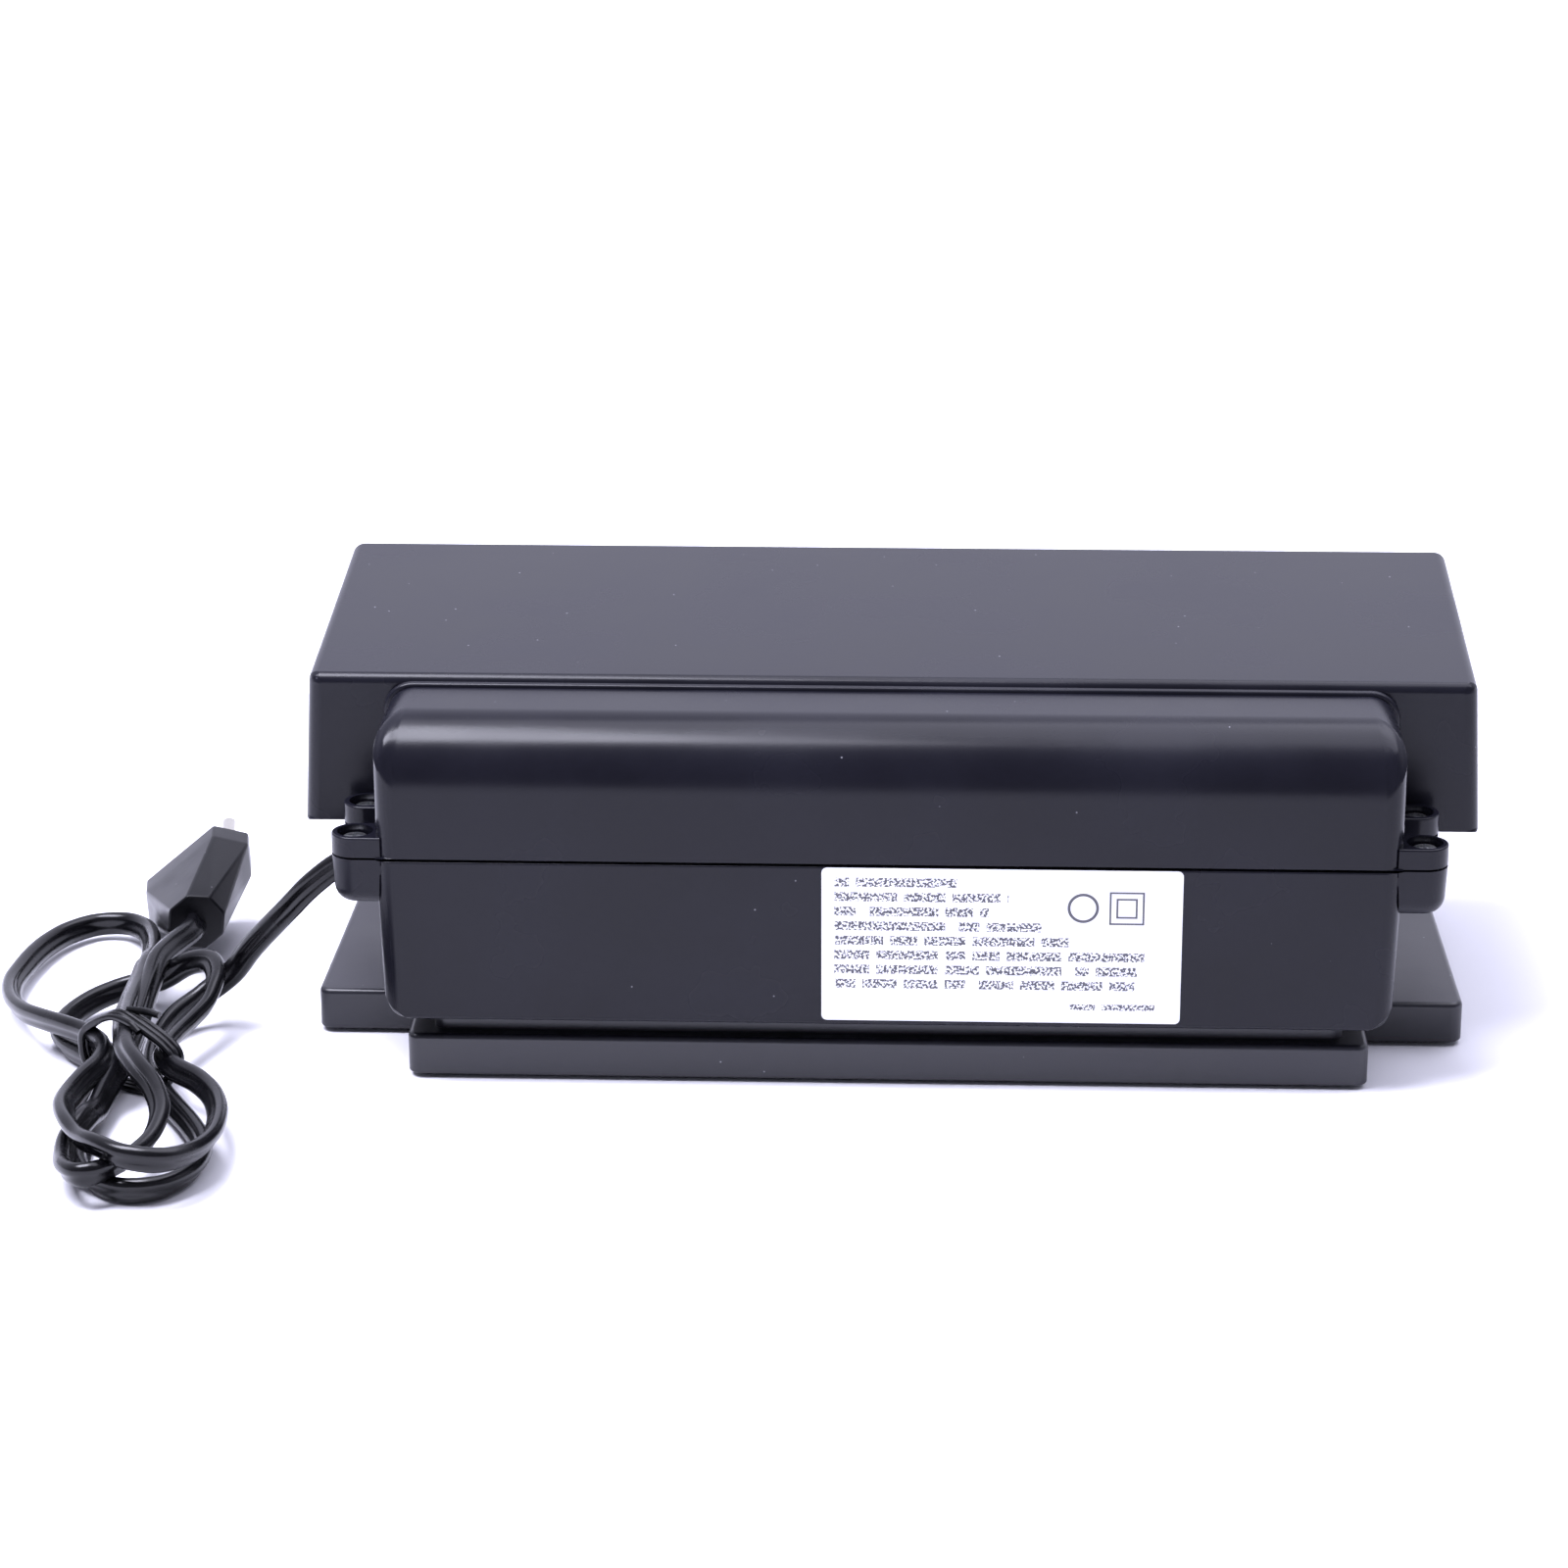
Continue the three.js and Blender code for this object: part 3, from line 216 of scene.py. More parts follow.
def label_ink(tree, place):
    """The print: eight rows and a footer of word-shaped strokes, nested squares and a ring."""
    at = add(tree, "SeparateXYZ", {"Vector": place}).outputs
    right, down = [
        add(tree, "Math", {"operation": "MULTIPLY_ADD", 0: at[axis], 1: -1 / MM, 2: corner}).outputs[0]
        for axis, corner in (("X", LABEL_X[1]), ("Z", LABEL_Z[1]))
    ]
    below = add(tree, "Math", {"operation": "SUBTRACT", 0: down, 1: FIRST_ROW}).outputs[0]
    row = add(tree, "Math", {"operation": "DIVIDE", 0: below, 1: ROW_PITCH}).outputs[0]
    row_number = add(tree, "Math", {"operation": "FLOOR", 0: row}).outputs[0]
    in_row = add(tree, "Math", {"operation": "FRACT", 0: row}).outputs[0]
    reach = 0.0
    for number, end in enumerate(ROW_ENDS):
        here = add(
            tree, "Math", {"operation": "COMPARE", 0: row_number, 1: float(number), 2: 0.1}
        ).outputs[0]
        reach = add(tree, "Math", {"operation": "MULTIPLY_ADD", 0: here, 1: end, 2: reach}).outputs[0]
    # Letter-wide cells, about one in seven blank, with strokes inside them.
    letter = add(tree, "Math", {"operation": "DIVIDE", 0: right, 1: LETTER}).outputs[0]
    column = add(tree, "Math", {"operation": "FLOOR", 0: letter}).outputs[0]
    cell = add(tree, "CombineXYZ", {"X": column, "Y": row_number}).outputs["Vector"]
    chance = add(tree, "TexWhiteNoise", {"noise_dimensions": "3D", "Vector": cell}).outputs["Value"]
    strokes = add(
        tree, "TexNoise", {"Scale": per_metre(0.55), "Detail": 1.0, "Vector": place}
    ).outputs["Fac"]
    letters = [("GREATER_THAN", chance, 0.15), ("GREATER_THAN", strokes, 0.49)]
    rows = [("LESS_THAN", in_row, 0.62), ("GREATER_THAN", right, 2.8), ("LESS_THAN", right, reach)]
    footer = [
        ("GREATER_THAN", right, 54.5), ("LESS_THAN", right, 73.0),
        ("GREATER_THAN", down, 31.2), ("LESS_THAN", down, 32.6),
    ]
    marks = []
    for tests in (rows + letters, footer + letters):
        inked = 1.0
        for operation, value, limit in tests:
            passed = add(tree, "Math", {"operation": operation, 0: value, 1: limit}).outputs[0]
            inked = add(tree, "Math", {"operation": "MULTIPLY", 0: inked, 1: passed}).outputs[0]
        marks.append(inked)
    spot = add(tree, "CombineXYZ", {"X": right, "Y": down}).outputs["Vector"]
    offset = add(tree, "VectorMath", {"operation": "SUBTRACT", 0: spot, 1: SQUARES}).outputs[0]
    away = add(tree, "VectorMath", {"operation": "ABSOLUTE", 0: offset}).outputs[0]
    parts = add(tree, "SeparateXYZ", {"Vector": away}).outputs
    square = add(tree, "Math", {"operation": "MAXIMUM", 0: parts[0], 1: parts[1]}).outputs[0]
    ring = add(tree, "VectorMath", {"operation": "DISTANCE", 0: spot, 1: RING}).outputs["Value"]
    for value, size, half_line in ((square, 3.6, 0.22), (square, 2.1, 0.22), (ring, 3.1, 0.32)):
        marks.append(
            add(tree, "Math", {"operation": "COMPARE", 0: value, 1: size, 2: half_line}).outputs[0]
        )
    ink = 0.0
    for mark in marks:
        ink = add(tree, "Math", {"operation": "MAXIMUM", 0: ink, 1: mark}).outputs[0]
    return ink


def printed_film():
    """White polyester film with a slight sheen, printed in dark grey."""
    made, tree, shader = new_material("white_polyester_film")
    place = add(tree, "TexCoord").outputs["Object"]
    sheen = add(tree, "TexNoise", {"Scale": per_metre(9), "Detail": 2.0, "Vector": place}).outputs["Fac"]
    film = add(
        tree, "Mix", {"data_type": "RGBA", 6: linear("f4f4f7"), 7: linear("e9e9ee"), 0: sheen}
    ).outputs[2]
    ink = label_ink(tree, place)
    tone = add(tree, "Mix", {"data_type": "RGBA", 7: linear("4b4b52"), 0: ink, 6: film}).outputs[2]
    finish = add(tree, "MapRange", {"To Min": 0.38, "To Max": 0.5, "Value": sheen}).outputs["Result"]
    set_up(tree, shader, {"Base Color": tone, "Roughness": finish})
    return made


def laminated_core():
    """Silicon steel laminations 0.5 mm thick, seen on edge: fine dark and bright lines, dipped in varnish."""
    made, tree, shader = new_material("varnished_laminations")
    place = add(tree, "TexCoord").outputs["Object"]
    lines = add(
        tree,
        "TexWave",
        {"bands_direction": "Y", "Scale": per_metre(0.5) / 20, "Distortion": 0.4, "Vector": place},
    ).outputs["Fac"]
    tone = add(
        tree,
        "Mix",
        {"data_type": "RGBA", 6: linear("33343a"), 7: linear("7c7d82"), 0: lines},
    ).outputs[2]
    bump = add(tree, "Bump", {"Distance": 0.04 * MM, "Height": lines}).outputs["Normal"]
    set_up(tree, shader, {"Base Color": tone, "Normal": bump, "Metallic": 0.8, "Roughness": 0.45})
    return made


# Blue-black ABS from a spark-eroded mould: a satin surface whose real 0.1 mm grain is drawn at 0.45 mm.
ABS = moulded("satin_black_abs", "101017", "16161e", (0.22, 0.3), 0.45, 0.01, dust=0.5, specular=0.2)
# The same ABS on the base, which handling and sliding have left a little duller.
BASE_ABS = moulded("worn_black_abs", "16161d", "1e1e26", (0.28, 0.38), 0.45, 0.014, dust=0.6, specular=0.5)
# Nylon of the switch: near black, smooth and satin.
NYLON = moulded("black_nylon", "101013", "16161a", (0.22, 0.3), 0.6, 0.006)
# Nitrile rubber of the feet and the strain relief: dull dark grey.
RUBBER = moulded("nitrile_rubber", "171719", "222224", (0.66, 0.8), 0.5, 0.03, specular=0.35)
# Extruded PVC of the cord: glossy black, faintly uneven, with duller patches.
CORD_PVC = moulded("extruded_pvc", "060608", "0d0d10", (0.2, 0.3), 0.9, 0.012, cloud=12, specular=0.3)
# Moulded PVC of the plug: satin black, a little uneven.
PLUG_PVC = moulded(
    "moulded_pvc", "0a0a0d", "111114", (0.28, 0.38), 0.5, 0.012, cloud=16, dust=0.4, specular=0.2
)
# White polycarbonate of the lamp holders, starters and terminals.
POLYCARBONATE = moulded("white_polycarbonate", "dedcd4", "eceae3", (0.3, 0.4), 0.5, 0.006)
# Wood's glass of the lamps: so dark a violet that it looks black, under a polished surface.
WOODS_GLASS = moulded(
    "woods_glass", "120c26", "1b1338", (0.05, 0.09), 2.5, 0.002, cloud=30, specular=0.5, coat=0.6
)
# Enamelled copper wire of the coils, under a brown varnish.
COPPER = bare_metal("enamelled_copper", "6b3417", "9c5a2c", (0.3, 0.45), 0.6, 0.05, (1, 0.05, 0.05))
# Zinc-plated steel screws: bright and slightly blue, with fine forming marks.
ZINC = bare_metal("zinc_plated_steel", "a9abae", "cfd0d2", (0.22, 0.38), 0.4, 0.006)
# Bright-rolled aluminium reflector: lines from the rolls run along it.
ROLLED_ALUMINIUM = bare_metal(
    "rolled_aluminium", "cfd2d5", "e6e8ea", (0.12, 0.24), 0.5, 0.004, (0.02, 1, 1)
)
# Drawn aluminium caps of the lamps: pale, with a fine dull texture.
DRAWN_ALUMINIUM = bare_metal("drawn_aluminium", "b9bcc0", "d8dadd", (0.25, 0.38), 0.35, 0.006)
# Nickel-plated brass pins: bright and slightly warm.
NICKEL = bare_metal("nickel_plated_brass", "bdb9ae", "d8d5cc", (0.14, 0.26), 0.4, 0.003)
LAMINATIONS = laminated_core()
LABEL_FILM = printed_film()


# ---- Mesh helpers -------------------------------------------------------------------------------

def block(bm, x, y, z):
    """Adds a box between two limits on each axis, and returns its vertices."""
    verts = bmesh.ops.create_cube(bm, size=1)["verts"]
    for vert in verts:
        vert.co = [low + (high - low) * (c + 0.5) for c, (low, high) in zip(vert.co, (x, y, z))]
    return verts


def rounded(bm, edges, radius, segments=4):
    """Rounds edges over, and returns the new faces."""
    return bmesh.ops.bevel(
        bm,
        geom=list(edges),
        offset=radius,
        offset_type="OFFSET",
        affect="EDGES",
        segments=segments,
        profile=0.5,
        material=-1,
        clamp_overlap=True,
    )["faces"]


def edges_where(bm, test):
    """Edges whose two ends both pass the test."""
    return [edge for edge in bm.edges if all(test(vert.co) for vert in edge.verts)]


def near(value, *targets, within=0.02):
    return any(abs(value - target) < within for target in targets)


def runs_along(edge, axis):
    """True where an edge is parallel to an axis: 0, 1 or 2."""
    step = edge.verts[0].co - edge.verts[1].co
    return all(abs(step[k]) < 1e-4 for k in range(3) if k != axis)


def extruded(outline, lift):
    """A prism: the outline's points as one face, carried along lift."""
    bm = bmesh.new()
    face = bm.faces.new([bm.verts.new(point) for point in outline])
    made = bmesh.ops.extrude_face_region(bm, geom=[face])["geom"]
    bmesh.ops.translate(
        bm, verts=[part for part in made if isinstance(part, bmesh.types.BMVert)], vec=lift
    )
    bmesh.ops.recalc_face_normals(bm, faces=bm.faces)
    return bm


def turned(profile, axis_point, axis, steps=48):
    """A solid of revolution from a profile of (radius, distance) along an axis, 0, 1 or 2."""
    bm = bmesh.new()
    forward = Vector([1.0 if k == axis else 0.0 for k in range(3)])
    outward = Vector([1.0 if k == (axis + 1) % 3 else 0.0 for k in range(3)])
    verts = [bm.verts.new(forward * distance + outward * radius) for radius, distance in profile]
    edges = [bm.edges.new(pair) for pair in zip(verts, verts[1:])]
    bmesh.ops.spin(
        bm,
        geom=verts + edges,
        axis=forward,
        cent=(0, 0, 0),
        steps=steps,
        angle=2 * math.pi,
        use_merge=True,
    )
    bmesh.ops.remove_doubles(bm, verts=bm.verts, dist=1e-4)
    bmesh.ops.recalc_face_normals(bm, faces=bm.faces)
    bmesh.ops.translate(bm, verts=bm.verts, vec=axis_point)
    return bm


def with_modifiers(bm, *modifiers):
    """The mesh after modifiers, each a kind and its settings. A bmesh among the settings is a tool."""
    scene = bpy.context.scene
    helpers = []

    def stand_in(source):
        mesh = bpy.data.meshes.new("tool")
        source.to_mesh(mesh)
        source.free()
        made = bpy.data.objects.new("tool", mesh)
        scene.collection.objects.link(made)
        helpers.append(made)
        return made

    shaped = stand_in(bm)
    for kind, settings in modifiers:
        modifier = shaped.modifiers.new(kind, kind)
        for name, value in settings.items():
            if isinstance(value, bmesh.types.BMesh):
                value = stand_in(value)
            setattr(modifier, name, value)
    graph = bpy.context.evaluated_depsgraph_get()
    evaluated = shaped.evaluated_get(graph)
    result = bmesh.new()
    result.from_mesh(evaluated.to_mesh())
    evaluated.to_mesh_clear()
    for helper in helpers:
        mesh = helper.data
        bpy.data.objects.remove(helper)
        bpy.data.meshes.remove(mesh)
    return result


def combined(bm, *tools, operation="UNION"):
    """The mesh joined with, or cut by, each tool in turn."""
    for tool in tools:
        bm = with_modifiers(bm, ("BOOLEAN", {"operation": operation, "solver": "EXACT", "object": tool}))
    bmesh.ops.remove_doubles(bm, verts=bm.verts, dist=1e-3)
    return bm


def carved(bm, *tools):
    return combined(bm, *tools, operation="DIFFERENCE")


def bar(start, end, radius, segments=32):
    """A round bar between two points."""
    bm = bmesh.new()
    start, end = Vector(start), Vector(end)
    bmesh.ops.create_cone(
        bm,
        cap_ends=True,
        segments=segments,
        radius1=radius,
        radius2=radius,
        depth=(end - start).length,
    )
    turn = (end - start).to_track_quat("Z", "Y").to_matrix().to_4x4()
    bmesh.ops.transform(bm, verts=bm.verts, matrix=Matrix.Translation((start + end) / 2) @ turn)
    return bm


def slab(x, y, z, radius=0.0, segments=3):
    """A box on its own, with all its edges rounded."""
    bm = bmesh.new()
    block(bm, x, y, z)
    if radius:
        rounded(bm, bm.edges, radius, segments)
    return bm


def piece(name, bm, material, nodes=(), body="housing", crease=32, flat=True):
    """The finished mesh, in metres, as an object that rides on its body and stands for its CAD nodes."""
    bmesh.ops.scale(bm, vec=(MM, MM, MM), verts=bm.verts)
    for face in bm.faces:
        face.smooth = True
    mesh = bpy.data.meshes.new(name)
    bm.to_mesh(mesh)
    bm.free()
    mesh.set_sharp_from_angle(angle=math.radians(crease))
    mesh.materials.append(material)
    made = bpy.data.objects.new(name, mesh)
    bpy.context.scene.collection.objects.link(made)
    if flat:
        weighted = made.modifiers.new("even faces", "WEIGHTED_NORMAL")
        weighted.keep_sharp = True
    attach(made, body)
    if nodes:
        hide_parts(*nodes)
    return made


# ---- Mains cord ---------------------------------------------------------------------------------

CORD_WIDTH, CORD_THICKNESS = 5.6, 3.4
# From the strain relief down to the floor, six times through the tie, and to the plug.
CORD_ROUTE = [
    (119.6, 56.0, 45.6), (122.5, 55.9, 45.3), (129.1, 54.2, 39.6), (134.6, 51.3, 33.2),
    (139.8, 47.6, 26.9), (144.9, 44.0, 20.5), (149.9, 41.4, 13.5), (156.6, 42.1, 8.2),
    (162.4, 47.6, 5.6), (165.3, 55.2, 3.7), (165.4, 64.0, 3.4), (164.3, 72.8, 3.2),
    (161.5, 81.3, 3.1), (157.5, 89.3, 3.1), (153.3, 97.2, 3.1), (149.1, 105.1, 3.1),
    (145.6, 113.4, 3.1), (144.1, 122.1, 3.1), (145.4, 130.6, 3.1), (150.3, 137.4, 3.1),
    (157.8, 138.7, 3.0), (164.6, 133.8, 3.0), (168.6, 126.2, 3.0), (170.1, 117.7, 3.0),
    (172.8, 108.8, 3.0), (172.8, 99.9, 3.0), (171.9, 91.0, 3.1), (171.2, 82.1, 3.3),
    (173.4, 74.1, 3.5), (179.5, 68.1, 3.4), (185.0, 61.2, 3.1), (187.8, 53.0, 3.1),
    (187.0, 44.4, 3.4), (183.2, 36.5, 4.1), (177.0, 31.0, 5.1), (168.8, 30.1, 7.1),
    (161.7, 32.4, 11.9), (155.8, 37.6, 14.5), (153.1, 45.4, 13.7), (153.9, 53.3, 10.7),
    (156.4, 61.6, 9.4), (158.7, 70.3, 9.0), (159.5, 78.9, 8.9), (155.9, 86.3, 8.6),
    (149.7, 92.5, 8.3), (145.2, 100.0, 8.3), (142.5, 108.5, 8.5), (141.3, 117.3, 8.9),
    (141.4, 126.2, 9.3), (143.5, 134.7, 10.1), (148.4, 141.4, 11.2), (155.9, 142.1, 12.2),
    (162.7, 137.0, 12.4), (167.8, 129.9, 10.9), (172.0, 122.1, 11.1), (174.6, 113.4, 10.6),
    (174.9, 104.5, 9.7), (173.6, 95.8, 9.7), (171.4, 87.3, 10.0), (172.1, 79.0, 10.3),
    (177.0, 72.0, 10.1), (183.6, 66.0, 9.7), (189.9, 59.7, 8.7), (195.4, 52.8, 7.4),
    (199.6, 45.0, 6.3), (202.4, 36.6, 5.5), (203.8, 27.8, 4.9), (203.7, 18.9, 4.4),
    (202.9, 9.9, 4.2), (201.2, 1.2, 4.0), (198.0, -7.0, 3.8), (192.2, -13.0, 3.8),
    (184.8, -12.7, 4.3), (179.4, -6.5, 5.2), (176.4, 1.8, 6.2), (174.5, 10.4, 7.2),
    (173.3, 19.2, 8.3), (172.8, 28.0, 10.3), (172.3, 37.0, 10.5), (172.0, 45.9, 11.0),
    (171.4, 54.8, 11.9), (170.6, 63.7, 12.8), (169.4, 72.5, 13.7), (167.7, 81.3, 14.2),
    (165.5, 90.0, 14.3), (161.6, 97.9, 13.8), (156.8, 105.2, 12.0), (154.0, 113.1, 9.8),
    (154.6, 121.5, 7.6), (157.2, 129.8, 6.9), (160.1, 137.8, 7.8), (165.0, 141.8, 7.7),
    (169.4, 137.0, 6.7), (171.6, 128.8, 5.5), (172.3, 119.9, 6.1), (170.4, 110.8, 7.2),
    (169.9, 102.3, 5.4), (169.4, 93.5, 6.2), (168.1, 84.8, 7.8), (167.8, 76.0, 8.8),
    (167.9, 67.0, 9.3), (168.1, 58.1, 9.9), (168.5, 49.1, 10.6), (168.8, 40.2, 11.3),
    (168.6, 31.3, 12.6), (166.8, 22.5, 12.7), (164.0, 14.1, 13.0), (163.9, 8.2, 13.0),
]


def smooth_path(points, steps):
    """A smooth curve through points, each stretch in that many steps."""
    given = [Vector(point) for point in points]
    given = [2 * given[0] - given[1], *given, 2 * given[-1] - given[-2]]
    path = []
    for before, start, end, after in zip(given, given[1:], given[2:], given[3:]):
        leave, arrive = start + (end - before) / 6, end - (after - start) / 6
        path += interpolate_bezier(start, leave, arrive, end, steps + 1)[:-1]
    return [*path, given[-2]]


def swept(path, section, guide, lean=0.0):
    """A tube along a path. The section's second axis follows guide, leaned where it runs fore and aft."""
    bm = bmesh.new()
    rings = []
    for i, point in enumerate(path):
        ahead = (path[min(i + 1, len(path) - 1)] - path[max(i - 1, 0)]).normalized()
        side = guide.cross(ahead).normalized()
        up = ahead.cross(side)
        angle = lean * ahead.y**2
        wide = up * math.cos(angle) + side * math.sin(angle)
        thin = side * math.cos(angle) - up * math.sin(angle)
        rings.append([bm.verts.new(point + thin * s + wide * w) for s, w in section])
    count = len(section)
    for ring, after in zip(rings, rings[1:]):
        for k in range(count):
            bm.faces.new((ring[k], ring[(k + 1) % count], after[(k + 1) % count], after[k]))
    bm.faces.new(rings[0])
    bm.faces.new(rings[-1])
    bmesh.ops.recalc_face_normals(bm, faces=bm.faces)
    return bm


def twin_section(steps=8, groove=0.22):
    """Two round cores side by side in one sheath, with a shallow groove between them."""
    radius = CORD_THICKNESS / 2
    apart = (CORD_WIDTH - CORD_THICKNESS) / 2
    points = []
    for side in (1, -1):
        for k in range(steps + 1):
            angle = math.pi * (k / steps - 0.5)
            points.append((side * radius * math.sin(angle), side * (apart + radius * math.cos(angle))))
        for t in (0.6, 0.25, -0.25, -0.6):
            depth = groove * math.cos(math.pi * t / 2) ** 2
            points.append((side * (radius - depth), side * apart * t))
    return points


cord_path = smooth_path(CORD_ROUTE, 5)
mains_cord = piece(
    "mains_cord",
    swept(cord_path, twin_section(), UP, lean=math.radians(38)),
    CORD_PVC,
    ("cord_lead", "cord_bundle", "cord_tail"),
    crease=45,
    flat=False,
)


TIE_CENTRE = Vector((166.5, 78.5, 0))
TIE_ALONG, TIE_ACROSS = Vector((0.877, -0.48, 0)), Vector((0.48, 0.877, 0))
# Once round the hank's six strands, as (distance along the tie, height).
TIE_GIRTH = [
    (2.6, 17.5), (-3.3, 15.6), (-9.4, 12.9), (-11.9, 10.6), (-12.0, 7.6), (-9.8, 4.3), (-7.0, 1.5),
    (-3.6, 0.85), (1.2, 0.85), (6.6, 0.85), (9.9, 2.1), (12.2, 5.6), (12.6, 9.4), (12.0, 12.0),
    (9.8, 14.0), (6.3, 16.2),
]


def cord_tie():
    """Plastic-coated wire, three times round the hank, its two ends laid over on top."""
    count = len(TIE_GIRTH)
    wound = [(*TIE_GIRTH[i % count], 1.55 * (i / count - 1.5)) for i in range(3 * count + 1)]
    first = [(-5.6, 17.6, -3.4), (-1.6, 18.0, -2.9)]
    last = [(-2.4, 17.3, 3.0), (-5.4, 16.0, 3.6)]
    points = [
        TIE_CENTRE + TIE_ALONG * along + TIE_ACROSS * across + UP * height
        for along, height, across in [*first, *wound, *last]
    ]
    circle = [
        (0.8 * math.cos(2 * math.pi * k / 10), 0.8 * math.sin(2 * math.pi * k / 10)) for k in range(10)
    ]
    return swept(smooth_path(points, 5), circle, TIE_ACROSS)


hank_tie = piece("hank_tie_wire", cord_tie(), CORD_PVC, ("cord_tie",), flat=False)


def strain_relief():
    """A tapered rubber sleeve with a flange on each side of the wall and three rings along it."""
    profile = [
        (0, 99.0), (2.9, 99.0), (3.6, 99.6), (3.6, 107.4), (4.3, 107.5), (4.4, 107.7), (4.4, 108.4),
        (4.3, 108.6), (3.6, 108.7), (3.6, 112.3), (4.3, 112.35), (4.4, 112.6), (4.4, 113.2),
        (4.25, 113.5), (4.0, 113.7), (3.95, 115.0), (3.55, 115.2), (3.55, 115.8), (3.88, 116.0),
        (3.82, 117.2), (3.45, 117.4), (3.45, 118.0), (3.76, 118.2), (3.7, 119.2), (3.4, 119.4),
        (3.4, 119.9), (3.6, 120.1), (3.5, 121.0), (3.3, 121.2), (0, 121.2),
    ]
    return turned(profile, (0, CORD_Y, CORD_Z), 0, 36)


piece("cord_strain_relief", strain_relief(), RUBBER, ("cord_grommet",), crease=40)


# ---- Plug ---------------------------------------------------------------------------------------

def plug_place():
    """The plug's own frame on the floor: its nose along +Z, its wide way along X."""
    yaw = math.radians(8.5)
    nose = Vector((math.sin(yaw), -math.cos(yaw), 0))
    level = UP.cross(nose)
    frame_axes = Matrix((level, UP, nose)).transposed().to_4x4()
    lean = Matrix.Rotation(math.radians(-39), 4, "Z")
    return Matrix.Translation((163.9, 8.6, 13.0)) @ frame_axes @ lean


PLUG_LENGTH, PLUG_RIM, PIN_X = 34.0, 8.0, 9.3


def plug_body():
    """A flat six-sided rim that tapers in facets to an eight-sided cable end, with two pin holes."""
    bm = bmesh.new()
    for k in range(8):
        angle = math.pi * (2 * k + 1) / 8
        bm.verts.new((7.0 * math.cos(angle), 7.0 * math.sin(angle), 0))
    for depth in (PLUG_LENGTH - PLUG_RIM, PLUG_LENGTH):
        for side in (-1, 1):
            for u, v in ((15.8, 0), (10.8, 7.0), (10.8, -7.0)):
                bm.verts.new((side * u, v, depth))
    bmesh.ops.convex_hull(bm, input=bm.verts)
    bmesh.ops.dissolve_limit(bm, angle_limit=math.radians(1), verts=bm.verts, edges=bm.edges)
    rounded(bm, bm.edges, 0.55, 3)
    holes = [bar((x, 0, PLUG_LENGTH - 5), (x, 0, PLUG_LENGTH + 1), 2.3) for x in (-PIN_X, PIN_X)]
    return carved(bm, *holes)


def plug_pin(x):
    """A round pin with a domed tip."""
    tip, dome = PLUG_LENGTH + 19.0, 6
    profile = [(0, PLUG_LENGTH - 4.7), (2.0, PLUG_LENGTH - 4.7), (2.0, tip - 1.6)]
    profile += [
        (2.0 * math.cos(math.pi / 2 * k / dome), tip - 1.6 + 1.6 * math.sin(math.pi / 2 * k / dome))
        for k in range(1, dome + 1)
    ]
    profile[-1] = (0, tip)
    return turned(profile, (x, 0, 0), 2, 32)


def placed(bm, matrix):
    bmesh.ops.transform(bm, verts=bm.verts, matrix=matrix)
    return bm


plug_shell = piece(
    "plug_shell", placed(plug_body(), plug_place()), PLUG_PVC, ("plug_body",), crease=24
)
plug_pins = [
    piece(
        f"plug_contact_{number}",
        placed(plug_pin(x), plug_place()),
        NICKEL,
        (f"plug_pin_{number}",),
    )
    for number, x in ((1, -PIN_X), (2, PIN_X))
]


# ---- Rear housing -------------------------------------------------------------------------------

def soft_box(x, y, z, radii):
    """A box with rounded edges. radii holds a radius for each pair of signs of an edge's y and z."""
    width = max(radii.values())
    bm = bmesh.new()
    block(bm, x, y, z)
    layer = bm.edges.layers.float.new("bevel_weight_edge")
    for edge in bm.edges:
        middle = (edge.verts[0].co + edge.verts[1].co) / 2
        side = tuple(
            0 if near(at, sum(limits) / 2) else int(math.copysign(1, at - sum(limits) / 2))
            for at, limits in ((middle.y, y), (middle.z, z))
        )
        edge[layer] = radii.get(side, 0) / width
    return with_modifiers(
        bm,
        ("BEVEL", {"limit_method": "WEIGHT", "width": width, "segments": 12, "use_clamp_overlap": False}),
    )


def thinner(radii):
    """The radii inside the wall."""
    return {side: max(radius - WALL, 0.4) for side, radius in radii.items()}


def arch(grow, y, radius, bottom):
    """An upright slab with the cover's outline, rounded at its two top corners."""
    bm = bmesh.new()
    block(bm, (-HOUSING_HALF - grow, HOUSING_HALF + grow), y, (bottom, COVER_TOP + grow))
    top = [e for e in bm.edges if runs_along(e, 1) and e.verts[0].co.z > SEAM_Z + 5]
    rounded(bm, top, radius, 10)
    return bm


def ear(side, y, bottom, top, soft_bottom, soft_top, taper=0.0):
    """A screw ear: a round post with a web back into the wall, its bottom or top edge rounded."""
    steps = 20
    arc = [
        (
            side * (EAR_X + EAR_RADIUS * math.cos(math.pi * (k / steps - 0.5))),
            y + EAR_RADIUS * math.sin(math.pi * (k / steps - 0.5)),
            bottom,
        )
        for k in range(steps + 1)
    ]
    wall_x = side * (HOUSING_HALF - WALL / 2)
    outline = [(wall_x, y - EAR_RADIUS, bottom), *arc, (wall_x, y + EAR_RADIUS, bottom)]
    bm = extruded(outline, (0, 0, top - bottom))
    for level, radius in ((bottom, soft_bottom), (top, soft_top)):
        if radius:
            rim = edges_where(bm, lambda co: near(co.z, level))
            rounded(bm, [e for e in rim if not all(near(v.co.x, wall_x) for v in e.verts)], radius, 6)
    for vert in bm.verts:
        low = (top - vert.co.z) / (top - bottom)
        vert.co.x += (side * EAR_X - vert.co.x) * taper * low
        vert.co.y += (y - vert.co.y) * taper * low
    return bm


